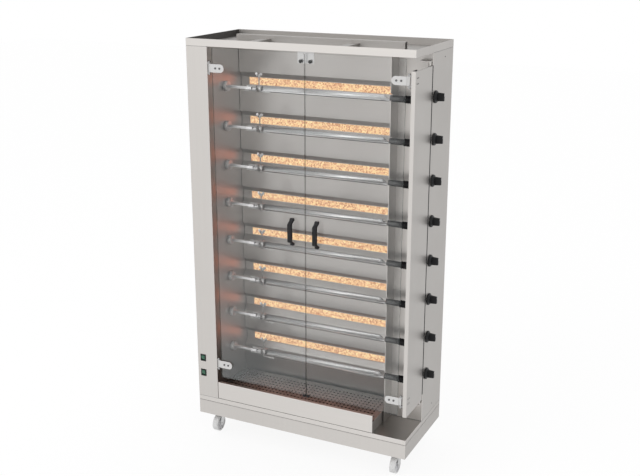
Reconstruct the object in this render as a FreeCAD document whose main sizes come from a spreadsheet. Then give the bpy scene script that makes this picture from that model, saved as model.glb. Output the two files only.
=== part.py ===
import FreeCAD, Part
import math
import os

import Sketcher
from FreeCAD import Placement, Rotation, Vector

# A floor-standing gas rotisserie: a steel cabinet on four casters, open at the
# front behind two glass doors, with eight spits that turn in front of eight
# ceramic burners.
#
# Every piece is drawn in cabinet measures: X runs from the left side to the
# right, Y from the front to the back and Z up from the floor. The object's own
# origin is the middle of its footprint on the floor, knobs, door handles and
# gas inlet included, and place() moves each piece there.

DRIVING_SIZES = [
    ("cabinet_width", 1120),
    ("cabinet_depth", 480),
    ("total_height", 2000),
    ("caster_height", 115),
    ("frame_height", 72),
    ("floor_height", 25),
    ("rim_height", 34),
    ("gauge", 2),
    ("column_width", 111),
    ("panel_setback", 215),
    ("post_width", 18),
    ("post_depth", 206),
    ("post_foot", 330),
    ("post_head", 1912),
    ("post_axis_setback", 195),
    ("right_wall_place", 962),
    ("right_wall_front", 128),
    ("chamber_depth", 283),
    ("burner_recess", 20),
    ("burner_length", 754),
    ("burner_strip", 35),
    ("tier_pitch", 189),
    ("top_tier_height", 1768),
    ("spit_setback", 150),
    ("shaft_radius", 9.95),
    ("running_gap", 0.05),
    ("blade_flange", 24),
    ("blade_gauge", 3),
    ("sleeve_radius", 14),
    ("grip_radius", 17),
    ("grip_length", 70),
    ("glass_gauge", 5),
    ("glass_setback", 4),
    ("door_foot", 332),
    ("door_head", 1960),
    ("door_gap", 4),
    ("hinge_inset", 8),
    ("post_hinge_inset", 12),
    ("hinge_top", 1870),
    ("hinge_bottom", 404),
    ("leaf_reach", 67),
    ("leaf_height", 38),
    ("pull_height", 130),
    ("pull_width", 20),
    ("pull_reach", 40),
    ("pull_middle", 1148),
    ("drawer_front", 90),
    ("drawer_right", 953),
    ("knob_setback", 254),
    ("knob_radius", 28),
    ("knob_reach", 42),
    ("inlet_reach", 22),
    ("wheel_radius", 40),
    ("wheel_width", 30),
    ("caster_inset", 72),
    ("rear_caster_inset", 185),
    ("caster_setback", 90),
    ("caster_trail", 28),
    ("switch_middle", 31),
    ("upper_switch", 421),
    ("switch_pitch", 81),
]
TIERS = 8
HALF_TIERS = 4
SPROCKET_TEETH = 12

X_AXIS = Vector(1, 0, 0)
Y_AXIS = Vector(0, 1, 0)
Z_AXIS = Vector(0, 0, 1)

doc = FreeCAD.newDocument("rotisserie")
sheet = doc.addObject("Spreadsheet::Sheet", "dims")
for row, (alias, number) in enumerate(DRIVING_SIZES, start=1):
    sheet.set(f"A{row}", alias)
    sheet.set(f"B{row}", str(number))
    sheet.setAlias(f"B{row}", alias)
doc.recompute()


class Size:
    """A length that knows its number and the sheet formula that gives it."""

    def __init__(self, number, formula=None):
        self.number = float(number)
        self.formula = formula

    def text(self):
        if self.formula is None:
            return f"({self.number:g})"
        return self.formula

    def joined(self, other, sign, number):
        other = size(other)
        if self.formula is None and other.formula is None:
            return Size(number)
        return Size(number, f"({self.text()} {sign} {other.text()})")

    def __add__(self, other):
        return self.joined(other, "+", self.number + size(other).number)

    def __radd__(self, other):
        return size(other) + self

    def __sub__(self, other):
        return self.joined(other, "-", self.number - size(other).number)

    def __rsub__(self, other):
        return size(other) - self

    def __mul__(self, other):
        return self.joined(other, "*", self.number * size(other).number)

    def __rmul__(self, other):
        return size(other) * self

    def __truediv__(self, other):
        return self.joined(other, "/", self.number / size(other).number)

    def __neg__(self):
        return 0 - self


def size(value):
    return value if isinstance(value, Size) else Size(value)


def dim(alias):
    return Size(getattr(sheet, alias), f"dims.{alias}")


WIDTH = dim("cabinet_width")
DEPTH = dim("cabinet_depth")
HEIGHT = dim("total_height")
GAUGE = dim("gauge")
COLUMN = dim("column_width")
FLOOR = dim("caster_height") + dim("frame_height") + dim("floor_height")
RIM_FOOT = HEIGHT - dim("rim_height")
WALL_HEIGHT = RIM_FOOT - FLOOR
BACK = DEPTH - GAUGE
PITCH = dim("tier_pitch")
SPIT_Y = dim("spit_setback")
WALL_X = dim("right_wall_place")
WALL_GAUGE = 3
PANEL_Y = dim("panel_setback")
POST_X = WIDTH - dim("post_width")
ORIGIN_X = (WIDTH + dim("knob_reach")) / 2
ORIGIN_Y = (DEPTH + dim("inlet_reach") - dim("pull_reach") + dim("glass_setback")) / 2
LEFT_HINGE = COLUMN + dim("hinge_inset")
RIGHT_HINGE = POST_X - dim("post_hinge_inset")
HINGE_Y = dim("glass_setback") + dim("glass_gauge") / 2
BORE = dim("shaft_radius") + dim("running_gap")
CHAIN_X = 55
SEAM = 2
BEND = 2
LIP = 14
JAMB_RETURN = 20
REAR_RETURN = 25
ROUND_GAP = 0.3
PIN_GAP = 0.05


def tier(number):
    """The height of a spit's axis above the floor, tier 1 at the top."""
    return dim("top_tier_height") - PITCH * (number - 1)


parts = []


def set_size(feature, name, value):
    value = size(value)
    if value.formula is None:
        setattr(feature, name, value.number)
    else:
        feature.setExpression(name, value.formula)


def put(feature, x, y, z, axis=Z_AXIS, angle=0):
    """Place a feature, each coordinate tied to the sheet."""
    spots = [size(x), size(y), size(z)]
    base = Vector(*[spot.number for spot in spots])
    feature.Placement = Placement(base, Rotation(axis, angle))
    for letter, spot in zip("xyz", spots):
        if spot.formula is not None:
            feature.setExpression(f"Placement.Base.{letter}", spot.formula)


def place(feature, label, x=0, y=0, z=0, axis=Z_AXIS, angle=0):
    """Name a finished piece, move it to its spot in the object and list it."""
    feature.Label = label
    put(feature, x - ORIGIN_X, y - ORIGIN_Y, z, axis, angle)
    parts.append(feature)
    return feature


def block(x, y, z, length, width, height):
    box = doc.addObject("Part::Box", "block")
    set_size(box, "Length", length)
    set_size(box, "Width", width)
    set_size(box, "Height", height)
    put(box, x, y, z)
    return box


def rod(x, y, z, radius, length, axis=Z_AXIS, angle=0):
    cylinder = doc.addObject("Part::Cylinder", "rod")
    set_size(cylinder, "Radius", radius)
    set_size(cylinder, "Height", length)
    put(cylinder, x, y, z, axis, angle)
    return cylinder


def prism(x, y, z, sides, radius, length, axis=Z_AXIS, angle=0):
    """A bar of regular section, its radius measured to the corners."""
    bar = doc.addObject("Part::Prism", "prism")
    bar.Polygon = sides
    set_size(bar, "Circumradius", radius)
    set_size(bar, "Height", length)
    put(bar, x, y, z, axis, angle)
    return bar


def prism_along_x(x, y, z, sides, radius, length):
    return prism(x, y, z, sides, radius, length, Y_AXIS, 90)


def prism_along_y(x, y, z, sides, radius, length):
    return prism(x, y, z, sides, radius, length, X_AXIS, -90)


def rod_along_x(x, y, z, radius, length):
    return rod(x, y, z, radius, length, Y_AXIS, 90)


def rod_along_y(x, y, z, radius, length):
    return rod(x, y, z, radius, length, X_AXIS, -90)


def fused(pieces):
    fusion = doc.addObject("Part::MultiFuse", "fusion")
    fusion.Shapes = pieces
    fusion.Refine = True
    return fusion


def cut(base, tool):
    difference = doc.addObject("Part::Cut", "difference")
    difference.Base = base
    difference.Tool = tool
    return difference


def group(pieces):
    """Separate solids that share one node."""
    compound = doc.addObject("Part::Compound", "group")
    compound.Links = pieces
    return compound


class Outline:
    """A sketch on one of its body's own planes, every point tied to the sheet."""

    def __init__(self, body, role, offset=0):
        self.body = body
        self.sketch = body.newObject("Sketcher::SketchObject", "outline")
        planes = [item for item in body.Origin.OriginFeatures if item.Role == role]
        self.sketch.AttachmentSupport = [(planes[0], "")]
        self.sketch.MapMode = "FlatFace"
        offset = size(offset)
        self.sketch.AttachmentOffset = Placement(Vector(0, 0, offset.number), Rotation())
        if offset.formula is not None:
            self.sketch.setExpression("AttachmentOffset.Base.z", offset.formula)

    def pin(self, line, end, x, y):
        """Hold one end of a line, or a circle's middle, at x and y."""
        for kind, value, axis in (("DistanceX", size(x), -2), ("DistanceY", size(y), -1)):
            if value.formula is None and value.number == 0:
                self.sketch.addConstraint(Sketcher.Constraint("PointOnObject", line, end, axis))
                continue
            rule = Sketcher.Constraint(kind, -1, 1, line, end, value.number)
            index = self.sketch.addConstraint(rule)
            if value.formula is not None:
                self.sketch.setExpression(f"Constraints[{index}]", value.formula)

    def polygon(self, points):
        corners = [(size(x), size(y)) for x, y in points]
        spots = [Vector(x.number, y.number, 0) for x, y in corners]
        first = self.sketch.GeometryCount
        count = len(spots)
        for index in range(count):
            line = Part.LineSegment(spots[index], spots[(index + 1) % count])
            self.sketch.addGeometry(line)
        for index in range(count):
            following = first + (index + 1) % count
            rule = Sketcher.Constraint("Coincident", first + index, 2, following, 1)
            self.sketch.addConstraint(rule)
        for index, (x, y) in enumerate(corners):
            self.pin(first + index, 1, x, y)
        return self

    def rectangle(self, x, y, length, height):
        return self.polygon([(x, y), (x + length, y), (x + length, y + height), (x, y + height)])

    def regular(self, x, y, radius, sides):
        """An outline of equal sides, its radius measured to the corners."""
        turns = [2 * math.pi * side / sides for side in range(sides)]
        return self.polygon([(x + radius * math.cos(turn), y + radius * math.sin(turn))
                             for turn in turns])

    def circle(self, x, y, radius):
        x, y, radius = size(x), size(y), size(radius)
        middle = Vector(x.number, y.number, 0)
        index = self.sketch.addGeometry(Part.Circle(middle, Z_AXIS, radius.number))
        self.pin(index, 3, x, y)
        rule = Sketcher.Constraint("Radius", index, radius.number)
        rule_index = self.sketch.addConstraint(rule)
        if radius.formula is not None:
            self.sketch.setExpression(f"Constraints[{rule_index}]", radius.formula)
        return self

    def feature(self, kind, reverse):
        made = self.body.newObject(f"PartDesign::{kind}", kind.lower())
        made.Profile = self.sketch
        made.Reversed = reverse
        return made

    def pad(self, length, reverse=False):
        made = self.feature("Pad", reverse)
        set_size(made, "Length", length)
        return made

    def pocket(self, length=None, reverse=False):
        made = self.feature("Pocket", reverse)
        if length is None:
            made.Type = "ThroughAll"
        else:
            set_size(made, "Length", length)
        doc.recompute()
        if made.Shape.Volume >= made.BaseFeature.Shape.Volume - 1e-6:
            raise RuntimeError(f"a pocket in {self.body.Label} cuts nothing")
        return made


def new_body(name):
    body = doc.addObject("PartDesign::Body", name)
    body.AllowCompound = True
    return body


def repeated(body, originals, direction, step, count):
    """Copies of features in a straight row."""
    pattern = body.newObject("PartDesign::LinearPattern", "row")
    pattern.Originals = originals
    pattern.Direction = direction
    set_size(pattern, "Length", step * (count - 1))
    pattern.Occurrences = count
    body.Tip = pattern
    return pattern


def rounded(body, radius, keep):
    """Round the edges of a body's newest feature that keep() picks."""
    doc.recompute()
    base = body.Tip
    names = [f"Edge{i + 1}" for i, edge in enumerate(base.Shape.Edges) if keep(edge)]
    fillet = body.newObject("PartDesign::Fillet", "rounding")
    fillet.Base = (base, names)
    fillet.Radius = radius
    return fillet


def runs_along(edge, axis):
    """True for a straight edge parallel to an axis."""
    if edge.Curve.TypeId != "Part::GeomLine":
        return False
    return abs(abs(edge.Curve.Direction.dot(axis)) - 1) < 1e-6


def sign(value):
    return (value > 0.001) - (value < -0.001)


def folded(path, side):
    """The outline of a sheet bent square along a path, its gauge laid to one side.

    side is 1 for the left of the path and -1 for its right.
    """
    path = [(size(x), size(y)) for x, y in path]
    inner = []
    for index, (x, y) in enumerate(path):
        shift_x = 0
        shift_y = 0
        for start in (index - 1, index):
            if 0 <= start < len(path) - 1:
                run_x = sign(path[start + 1][0].number - path[start][0].number)
                run_y = sign(path[start + 1][1].number - path[start][1].number)
                shift_x -= run_y * side
                shift_y += run_x * side
        inner.append((x + GAUGE * shift_x, y + GAUGE * shift_y))
    return path + inner[::-1]


# Base

def upright(edge):
    """True for an edge that stands along Z."""
    return runs_along(edge, Z_AXIS)


def base_frame():
    """The lower box with its inward lip, and the casters' fixed plates and kingpins."""
    body = new_body("base_frame")
    height = dim("frame_height")
    Outline(body, "XY_Plane").rectangle(0, 0, WIDTH, DEPTH).pad(height)
    rounded(body, BEND, upright)
    inside = Outline(body, "XY_Plane", height - GAUGE)
    inside.rectangle(GAUGE, GAUGE, WIDTH - 2 * GAUGE, DEPTH - 2 * GAUGE)
    inside.pocket(height - 2 * GAUGE)
    mouth = Outline(body, "XY_Plane", height)
    mouth.rectangle(LIP, LIP, WIDTH - 2 * LIP, DEPTH - 2 * LIP)
    mouth.pocket(2 * GAUGE)
    plates = Outline(body, "XY_Plane")
    kingpins = Outline(body, "XY_Plane")
    nuts = Outline(body, "XY_Plane", -PLATE - CROWN - 2 * ROUND_GAP)
    for x, y in caster_spots():
        plates.rectangle(x - PLATE_LENGTH / 2, y - PLATE_WIDTH / 2, PLATE_LENGTH, PLATE_WIDTH)
        kingpins.circle(x, y, KINGPIN)
        nuts.regular(x, y, KINGPIN_NUT, 6)
    plates.pad(PLATE, reverse=True)
    kingpins.pad(PLATE + CROWN + 4, reverse=True)
    nuts.pad(KINGPIN, reverse=True)
    place(body, "base_frame", z=dim("caster_height"))


PLATE = 4
PLATE_LENGTH = 90
PLATE_WIDTH = 72
CROWN = 6
KINGPIN = 6
KINGPIN_NUT = 10
AXLE = 4


def caster_spots():
    """Where the four kingpins stand, front pair first, the rear pair further in."""
    setback = dim("caster_setback")
    pairs = ((setback, dim("caster_inset")), (DEPTH - setback, dim("rear_caster_inset")))
    spots = []
    for y, inset in pairs:
        for x in (inset, WIDTH - inset):
            spots.append((x, y))
    return spots


def base_floor():
    """The upturned tray that floors the cabinet and stands on the frame on its inner hem."""
    body = new_body("base_floor")
    height = dim("floor_height")
    Outline(body, "XY_Plane", SEAM).rectangle(0, 0, WIDTH, DEPTH).pad(height - SEAM)
    rounded(body, BEND, upright)
    rounded(body, BEND * 0.75, lambda edge: edge.CenterOfMass.z > height.number - 0.1)
    hem = Outline(body, "XY_Plane")
    hem.rectangle(GAUGE, GAUGE, WIDTH - 2 * GAUGE, DEPTH - 2 * GAUGE).pad(SEAM)
    doc.recompute()
    inside = Outline(body, "XY_Plane")
    inside.rectangle(2 * GAUGE, 2 * GAUGE, WIDTH - 4 * GAUGE, DEPTH - 4 * GAUGE)
    inside.pocket(height - GAUGE, reverse=True)
    place(body, "base_floor", z=FLOOR - height)


# Cabinet sides

def switch_spots():
    """The middles of the two switches, seen from the front."""
    x = dim("switch_middle")
    z = dim("upper_switch")
    return [(x, z), (x, z - dim("switch_pitch"))]


SWITCH_WIDTH = 22
SWITCH_HEIGHT = 28
SWITCH_PIVOT = 1.5


def left_housing():
    """Front strip, side and rear return of the drive column, bent from one sheet."""
    body = new_body("left_housing")
    path = [(COLUMN, JAMB_RETURN), (COLUMN, 0), (0, 0), (0, BACK), (REAR_RETURN, BACK)]
    Outline(body, "XY_Plane").polygon(folded(path, -1)).pad(WALL_HEIGHT)
    rounded(body, BEND, lambda edge: upright(edge) and edge.CenterOfMass.y < 0.1)
    windows = Outline(body, "XZ_Plane")
    for x, z in switch_spots():
        windows.rectangle(x - SWITCH_WIDTH / 2, z - FLOOR - SWITCH_HEIGHT / 2,
                          SWITCH_WIDTH, SWITCH_HEIGHT)
    windows.pocket(2 * GAUGE)
    place(body, "left_housing", z=FLOOR)


BEARING_LENGTH = 16
BEARING = 34


def left_wall():
    """The chamber's left wall, with the bearing blocks of the eight drive shafts."""
    body = new_body("left_wall")
    rear = dim("chamber_depth") + dim("burner_recess")
    path = [(COLUMN, JAMB_RETURN), (COLUMN, rear), (COLUMN - JAMB_RETURN, rear)]
    Outline(body, "XY_Plane").polygon(folded(path, 1)).pad(WALL_HEIGHT)
    bearings = Outline(body, "YZ_Plane", COLUMN - BEARING_LENGTH)
    bores = Outline(body, "YZ_Plane", COLUMN - BEARING_LENGTH - 1)
    for number in range(1, TIERS + 1):
        z = tier(number) - FLOOR
        bearings.rectangle(SPIT_Y - BEARING / 2, z - BEARING / 2, BEARING, BEARING)
        bores.circle(SPIT_Y, z, BORE)
    bearings.pad(BEARING_LENGTH)
    bores.pocket(BEARING_LENGTH + 2, reverse=True)
    place(body, "left_wall", z=FLOOR)


def right_wall():
    """The chamber's right wall, open-notched at the front where the spits rest."""
    body = new_body("right_wall")
    front = dim("right_wall_front")
    depth = dim("chamber_depth") + dim("burner_recess") - front
    plate = Outline(body, "YZ_Plane", WALL_X - WALL_GAUGE)
    plate.rectangle(front, 0, depth, WALL_HEIGHT).pad(WALL_GAUGE)
    seat = dim("sleeve_radius") + ROUND_GAP
    entry = front - 2
    slope = 10
    seats = Outline(body, "YZ_Plane", WALL_X - WALL_GAUGE - 1)
    slots = Outline(body, "YZ_Plane", WALL_X - WALL_GAUGE - 1)
    for number in range(1, TIERS + 1):
        z = tier(number) - FLOOR
        seats.circle(SPIT_Y, z, seat)
        slots.polygon([(SPIT_Y, z - seat), (SPIT_Y, z + seat + 3),
                       (entry, z + seat + 3 + slope), (entry, z - seat + slope)])
    seats.pocket(WALL_GAUGE + 2, reverse=True)
    slots.pocket(WALL_GAUGE + 2, reverse=True)
    place(body, "right_wall", z=FLOOR)


PIVOT_RADIUS = 5
PIVOT_PLATE = 5
PIVOT_GAP = 18
PIVOT_ENTRY = 24
PIVOT_ARM = 46
PIVOT_EDGE = 6
PIVOT_REACH = 15
COLLAR_RADIUS = 7
END_PLATE_PLACE = 12
STEM_HOLE = 16


def right_housing():
    """Set-back front and right side of the gas column, with the post's two pivots."""
    body = new_body("right_housing")
    path = [(WALL_X, PANEL_Y + REAR_RETURN), (WALL_X, PANEL_Y), (WIDTH, PANEL_Y),
            (WIDTH, BACK), (WIDTH - REAR_RETURN, BACK)]
    Outline(body, "XY_Plane").polygon(folded(path, 1)).pad(WALL_HEIGHT)
    rounded(body, BEND, lambda edge: (upright(edge) and edge.CenterOfMass.x > WIDTH.number - 0.1
                                      and edge.CenterOfMass.y < PANEL_Y.number + 0.1))
    holes = Outline(body, "YZ_Plane", WIDTH - 2 * GAUGE)
    for number in range(1, TIERS + 1):
        middle = tier(number) + KNOB_RISE - FLOOR
        holes.rectangle(dim("knob_setback") - STEM_HOLE / 2, middle - STEM_HOLE / 2,
                        STEM_HOLE, STEM_HOLE)
    holes.pocket(4 * GAUGE, reverse=True)
    axis_x = POST_X + (dim("post_width") - GAUGE) / 2
    axis_y = dim("post_axis_setback")
    foot = dim("post_foot") - FLOOR
    head = dim("post_head") - FLOOR
    for plate_foot in (foot - PIVOT_GAP - PIVOT_PLATE, head + PIVOT_GAP):
        arm = Outline(body, "XY_Plane", plate_foot)
        arm.rectangle(axis_x + PIVOT_EDGE - PIVOT_ARM, axis_y - PIVOT_REACH, PIVOT_ARM,
                      PANEL_Y - axis_y + PIVOT_REACH)
        arm.pad(PIVOT_PLATE)
        doc.recompute()
    pin_length = PIVOT_GAP + PIVOT_ENTRY
    for pin_foot in (foot - PIVOT_GAP, head - PIVOT_ENTRY):
        pin = Outline(body, "XY_Plane", pin_foot)
        pin.circle(axis_x, axis_y, PIVOT_RADIUS).pad(pin_length)
        doc.recompute()
    collar = Outline(body, "XY_Plane", foot - PIVOT_GAP)
    collar.regular(axis_x, axis_y, COLLAR_RADIUS, 6)
    collar.pad(PIVOT_GAP + END_PLATE_PLACE - ROUND_GAP)
    place(body, "right_housing", z=FLOOR)


KNOB_RISE = 4


# Chamber back, burners and top

REFLECTOR_GAUGE = 1.5
TROUGH_LIP = 43
TROUGH_SILL = 48
TROUGH_BROW = 8
BURNER_RISE = 9
BURNER_X = 158
BURNER_GAP = 7


def reflector():
    """The chamber's back: flat panels and, at each tier, a trough for its burner."""
    body = new_body("reflector")
    face = dim("chamber_depth")
    deep = face + dim("burner_recess")
    half = dim("burner_strip") / 2 + 3
    left = COLUMN + SEAM
    length = WALL_X - WALL_GAUGE - left
    middle = tier(TIERS) + BURNER_RISE - FLOOR
    foot = middle - PITCH / 2
    profile = [(face, foot), (face, middle - TROUGH_SILL), (deep, middle - half),
               (deep, middle + half), (face + TROUGH_BROW, middle + TROUGH_LIP - 1),
               (face, middle + TROUGH_LIP), (face, foot + PITCH)]
    back = [(y + REFLECTOR_GAUGE, z) for y, z in profile]
    trough = Outline(body, "YZ_Plane", left).polygon(profile + back[::-1]).pad(length)
    window = Outline(body, "XZ_Plane", -deep + 2)
    window.rectangle(BURNER_X, middle - dim("burner_strip") / 2, dim("burner_length"),
                     dim("burner_strip"))
    opening = window.pocket(10)
    repeated(body, [trough, opening], (window.sketch, ["V_Axis"]), PITCH, TIERS)
    doc.recompute()
    ends = Outline(body, "YZ_Plane", left)
    head = foot + PITCH * TIERS
    ends.rectangle(face, 0, REFLECTOR_GAUGE, foot)
    ends.rectangle(face, head, REFLECTOR_GAUGE, WALL_HEIGHT - head)
    ends.pad(length)
    place(body, "reflector", z=FLOOR)


def burner(number):
    """One burner's gas chamber with the mixing tube at its right end."""
    body = new_body("burner")
    y = dim("chamber_depth") + dim("burner_recess") + REFLECTOR_GAUGE + BURNER_GAP
    z = tier(number) + BURNER_RISE
    tall = 30
    crown = 12
    shoulder = 22
    deep = 38
    section = [(y, z - tall), (y, z + tall), (y + shoulder, z + tall), (y + deep, z + crown),
               (y + deep, z - crown), (y + shoulder, z - tall)]
    Outline(body, "YZ_Plane", BURNER_X).polygon(section).pad(dim("burner_length"))
    tube = Outline(body, "YZ_Plane", BURNER_X + dim("burner_length"))
    tube.regular(y + deep / 2, z, crown, 8).pad(MIXING_TUBE)
    return body


MIXING_TUBE = 36


def burner_bodies():
    place(group([burner(number) for number in range(1, TIERS + 1)]), "burner_bodies")


def burner_plaques():
    """The ceramic plates that glow, one row behind each window of the reflector."""
    y = dim("chamber_depth") + dim("burner_recess") + REFLECTOR_GAUGE
    height = dim("burner_strip") + 8
    plates = []
    for number in range(1, TIERS + 1):
        z = tier(number) + BURNER_RISE - height / 2
        plates.append(block(BURNER_X - 2, y, z, dim("burner_length") + 4, BURNER_GAP, height))
    place(group(plates), "burner_plaques")


VENT_FRONT = 30
VENT_BACK = 262
STRAP_WIDTH = 42
STRAP_PLACES = (258, 710)
STRAP_RISE = 19
DUCT_WIDTH = 26


def top_tray():
    """The rimmed top: a floor with the flue opening, its cross straps and the rear duct."""
    body = new_body("top_tray")
    height = dim("rim_height")
    Outline(body, "XY_Plane").rectangle(0, 0, WIDTH, DEPTH).pad(height)
    rounded(body, BEND, upright)
    rounded(body, BEND * 0.75, lambda edge: edge.CenterOfMass.z < 0.1)
    inside = Outline(body, "XY_Plane", height)
    inside.rectangle(GAUGE, GAUGE, WIDTH - 2 * GAUGE, DEPTH - 2 * GAUGE)
    inside.pocket(height - GAUGE)
    vent = Outline(body, "XY_Plane", height)
    left = COLUMN + 2 * GAUGE
    vent.rectangle(left, VENT_FRONT, WALL_X - 3 * GAUGE - left, VENT_BACK - VENT_FRONT)
    vent.pocket()
    straps = Outline(body, "XZ_Plane")
    for x in STRAP_PLACES:
        straps.polygon(channel(x, 0, STRAP_WIDTH, STRAP_RISE))
    straps.pad(VENT_BACK, reverse=True)
    duct = Outline(body, "YZ_Plane", left)
    duct.polygon(channel(VENT_BACK, GAUGE.number, DUCT_WIDTH, height - GAUGE))
    duct.pad(WALL_X - COLUMN + 2 * GAUGE)
    place(body, "top_tray", z=RIM_FOOT)


def channel(x, y, width, height):
    """The section of a square channel that stands open side down."""
    inner = 1.5
    return [(x, y), (x, y + height), (x + width, y + height), (x + width, y),
            (x + width - inner, y), (x + width - inner, y + height - inner),
            (x + inner, y + height - inner), (x + inner, y)]


def back_panel():
    """The rear cover, with air slots behind the burners and the cable gland."""
    body = new_body("back_panel")
    sheet_outline = Outline(body, "XZ_Plane", -DEPTH)
    sheet_outline.rectangle(GAUGE, FLOOR, WIDTH - 2 * GAUGE, WALL_HEIGHT).pad(GAUGE)
    slots = Outline(body, "XZ_Plane", -DEPTH)
    for x in AIR_SLOTS:
        slots.rectangle(x, tier(TIERS) - AIR_SLOT_DROP, AIR_SLOT_LENGTH, AIR_SLOT_HEIGHT)
    first = slots.pocket(reverse=True)
    repeated(body, [first], (slots.sketch, ["V_Axis"]), PITCH, TIERS)
    doc.recompute()
    gas_hole = Outline(body, "XZ_Plane", -DEPTH)
    gas_hole.regular(PIPE_X, INLET_Z, COLLAR + 1, 6)
    gas_hole.pocket(reverse=True)
    gland = Outline(body, "XZ_Plane", -DEPTH + GAUGE)
    gland.regular(COLUMN / 2, INLET_Z, GLAND, 6).pad(GLAND + 2 * GAUGE, reverse=True)
    place(body, "back_panel")


AIR_SLOTS = (230, 580)
AIR_SLOT_LENGTH = 260
AIR_SLOT_HEIGHT = 8
AIR_SLOT_DROP = 40
GLAND = 12
PIPE_X = 1078
PIPE_Y = 330
PIPE = 10
COLLAR = 15
COLLAR_LENGTH = 12
RAIL = 22
INLET_Z = 262
VALVE_WIDTH = 26
VALVE_HEIGHT = 28
FEED = 5


def gas_manifold():
    """The square gas rail with its rear inlet, eight valves and the feeds to the burners."""
    foot = INLET_Z - VALVE_HEIGHT / 2
    top = tier(1) + KNOB_RISE + VALVE_HEIGHT
    rail = block(PIPE_X - RAIL / 2, PIPE_Y - RAIL / 2, foot, RAIL, RAIL, top - foot)
    feed = prism_along_y(PIPE_X, PIPE_Y, INLET_Z, 6, PIPE, DEPTH + GAUGE - PIPE_Y)
    collar = prism_along_y(PIPE_X, DEPTH + GAUGE - COLLAR_LENGTH, INLET_Z, 6, COLLAR,
                           COLLAR_LENGTH)
    thread = rod_along_y(PIPE_X, DEPTH + GAUGE, INLET_Z, THREAD_RADIUS,
                         dim("inlet_reach") - GAUGE)
    pieces = [rail, feed, collar, thread]
    valve_y = dim("knob_setback") - STEM_HOLE
    valve_end = PIPE_X + VALVE_WIDTH / 2
    feed_x = BURNER_X + dim("burner_length") + MIXING_TUBE
    feed_y = dim("chamber_depth") + dim("burner_recess") + 27.5
    for number in range(1, TIERS + 1):
        z = tier(number) + KNOB_RISE
        pieces.append(block(valve_end - VALVE_WIDTH, valve_y, z - VALVE_HEIGHT / 2,
                            VALVE_WIDTH, PIPE_Y - valve_y, VALVE_HEIGHT))
        pieces.append(rod_along_x(valve_end, dim("knob_setback"), z, VALVE_STEM,
                                  WIDTH + STEM_REACH - valve_end))
        pieces.append(prism_along_x(feed_x, feed_y, z + BURNER_RISE - KNOB_RISE, 6, FEED,
                                    PIPE_X - RAIL / 2 - feed_x + GAUGE))
    place(fused(pieces), "gas_manifold")


VALVE_STEM = 4
STEM_REACH = 10
THREAD_RADIUS = 10.5


# Drive in the left column

CHAIN_HALF = 5.2
LINK_GAUGE = 1.2
LINK_WIDTH = 10
GEAR_CASE = 68
GEAR_CASE_LENGTH = 28
GEAR_CASE_X = 64
CHAIN_RADIUS = PITCH.number / 15 / (2 * math.sin(math.pi / SPROCKET_TEETH))


def racetrack(outline, y, z, spread, radius):
    """A loop with eight-sided ends round the lowest and the highest of a chain's axes."""
    points = []
    for end_z, first in ((z + spread, 0), (z, 4)):
        for step in range(first, first + 5):
            turn = math.pi * step / 4
            points.append((y + radius * math.cos(turn), end_z + radius * math.sin(turn)))
    return outline.polygon(points)


def chain(lowest):
    """Both link-plate rows of the chain round four sprockets, and the pins between them."""
    spread = PITCH * (HALF_TIERS - 1)
    pieces = []
    for x in (CHAIN_X - CHAIN_HALF, CHAIN_X + CHAIN_HALF - LINK_GAUGE):
        body = new_body("chain_row")
        row_outline = Outline(body, "YZ_Plane", x)
        for shift in (LINK_WIDTH / 2, -LINK_WIDTH / 2):
            racetrack(row_outline, SPIT_Y, tier(lowest), spread, CHAIN_RADIUS + shift)
        row_outline.pad(LINK_GAUGE)
        pieces.append(body)
    for gap in range(HALF_TIERS - 1):
        z = tier(lowest) + PITCH * (gap + 0.5)
        for y in (SPIT_Y - CHAIN_RADIUS, SPIT_Y + CHAIN_RADIUS):
            pieces.append(prism_along_x(CHAIN_X - CHAIN_HALF, y, z, 6, 3, 2 * CHAIN_HALF))
    return fused(pieces)


def gear_motor(number):
    """A hollow-shaft gear motor round one drive shaft, its motor to the rear."""
    z = tier(number)
    half = GEAR_CASE / 2
    case = block(GEAR_CASE_X, SPIT_Y - half, z - half, GEAR_CASE_LENGTH, 100, GEAR_CASE)
    motor = prism_along_y(GEAR_CASE_X + GEAR_CASE_LENGTH / 2, SPIT_Y + 60, z, 8, 26, 85)
    hollow = rod_along_x(GEAR_CASE_X - 4, SPIT_Y, z, BORE, GEAR_CASE_LENGTH + 12)
    return cut(fused([case, motor]), hollow)


def spit_drive():
    """Two gear motors and two chains, each pair for four spits."""
    pieces = [gear_motor(HALF_TIERS), gear_motor(TIERS)]
    pieces += [chain(HALF_TIERS), chain(TIERS)]
    place(group(pieces), "spit_drive")


# Spits

def sprocket():
    """A sprocket whose tooth gaps sit on the chain's pitch circle."""
    body = new_body("sprocket")
    corners = []
    for step in range(2 * SPROCKET_TEETH):
        reach = CHAIN_RADIUS + (4 if step % 2 else -3.5)
        turn = math.pi * step / SPROCKET_TEETH
        corners.append((reach * math.cos(turn), reach * math.sin(turn)))
    Outline(body, "YZ_Plane", CHAIN_X - 3).polygon(corners).pad(6)
    return body


SHAFT_X = 38
SOCKET_RADIUS = 24
SOCKET_LENGTH = 18
SHANK = 12
BLADE_LEFT = 226
BLADE_RIGHT = 944
BLADE_SLANT = 28
TANG = 60
FORK_X = 286
FORK_HUB = 28
FORK_HUB_LENGTH = 26
TINE_REACH = 66
TINE_SPREAD = 33
TINE = 3
TINE_POINT = 12
WING_GAUGE = 3
GRIP_X = 1018
GRIP_RIBS = 3
GRIP_GROOVE = 4


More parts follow.
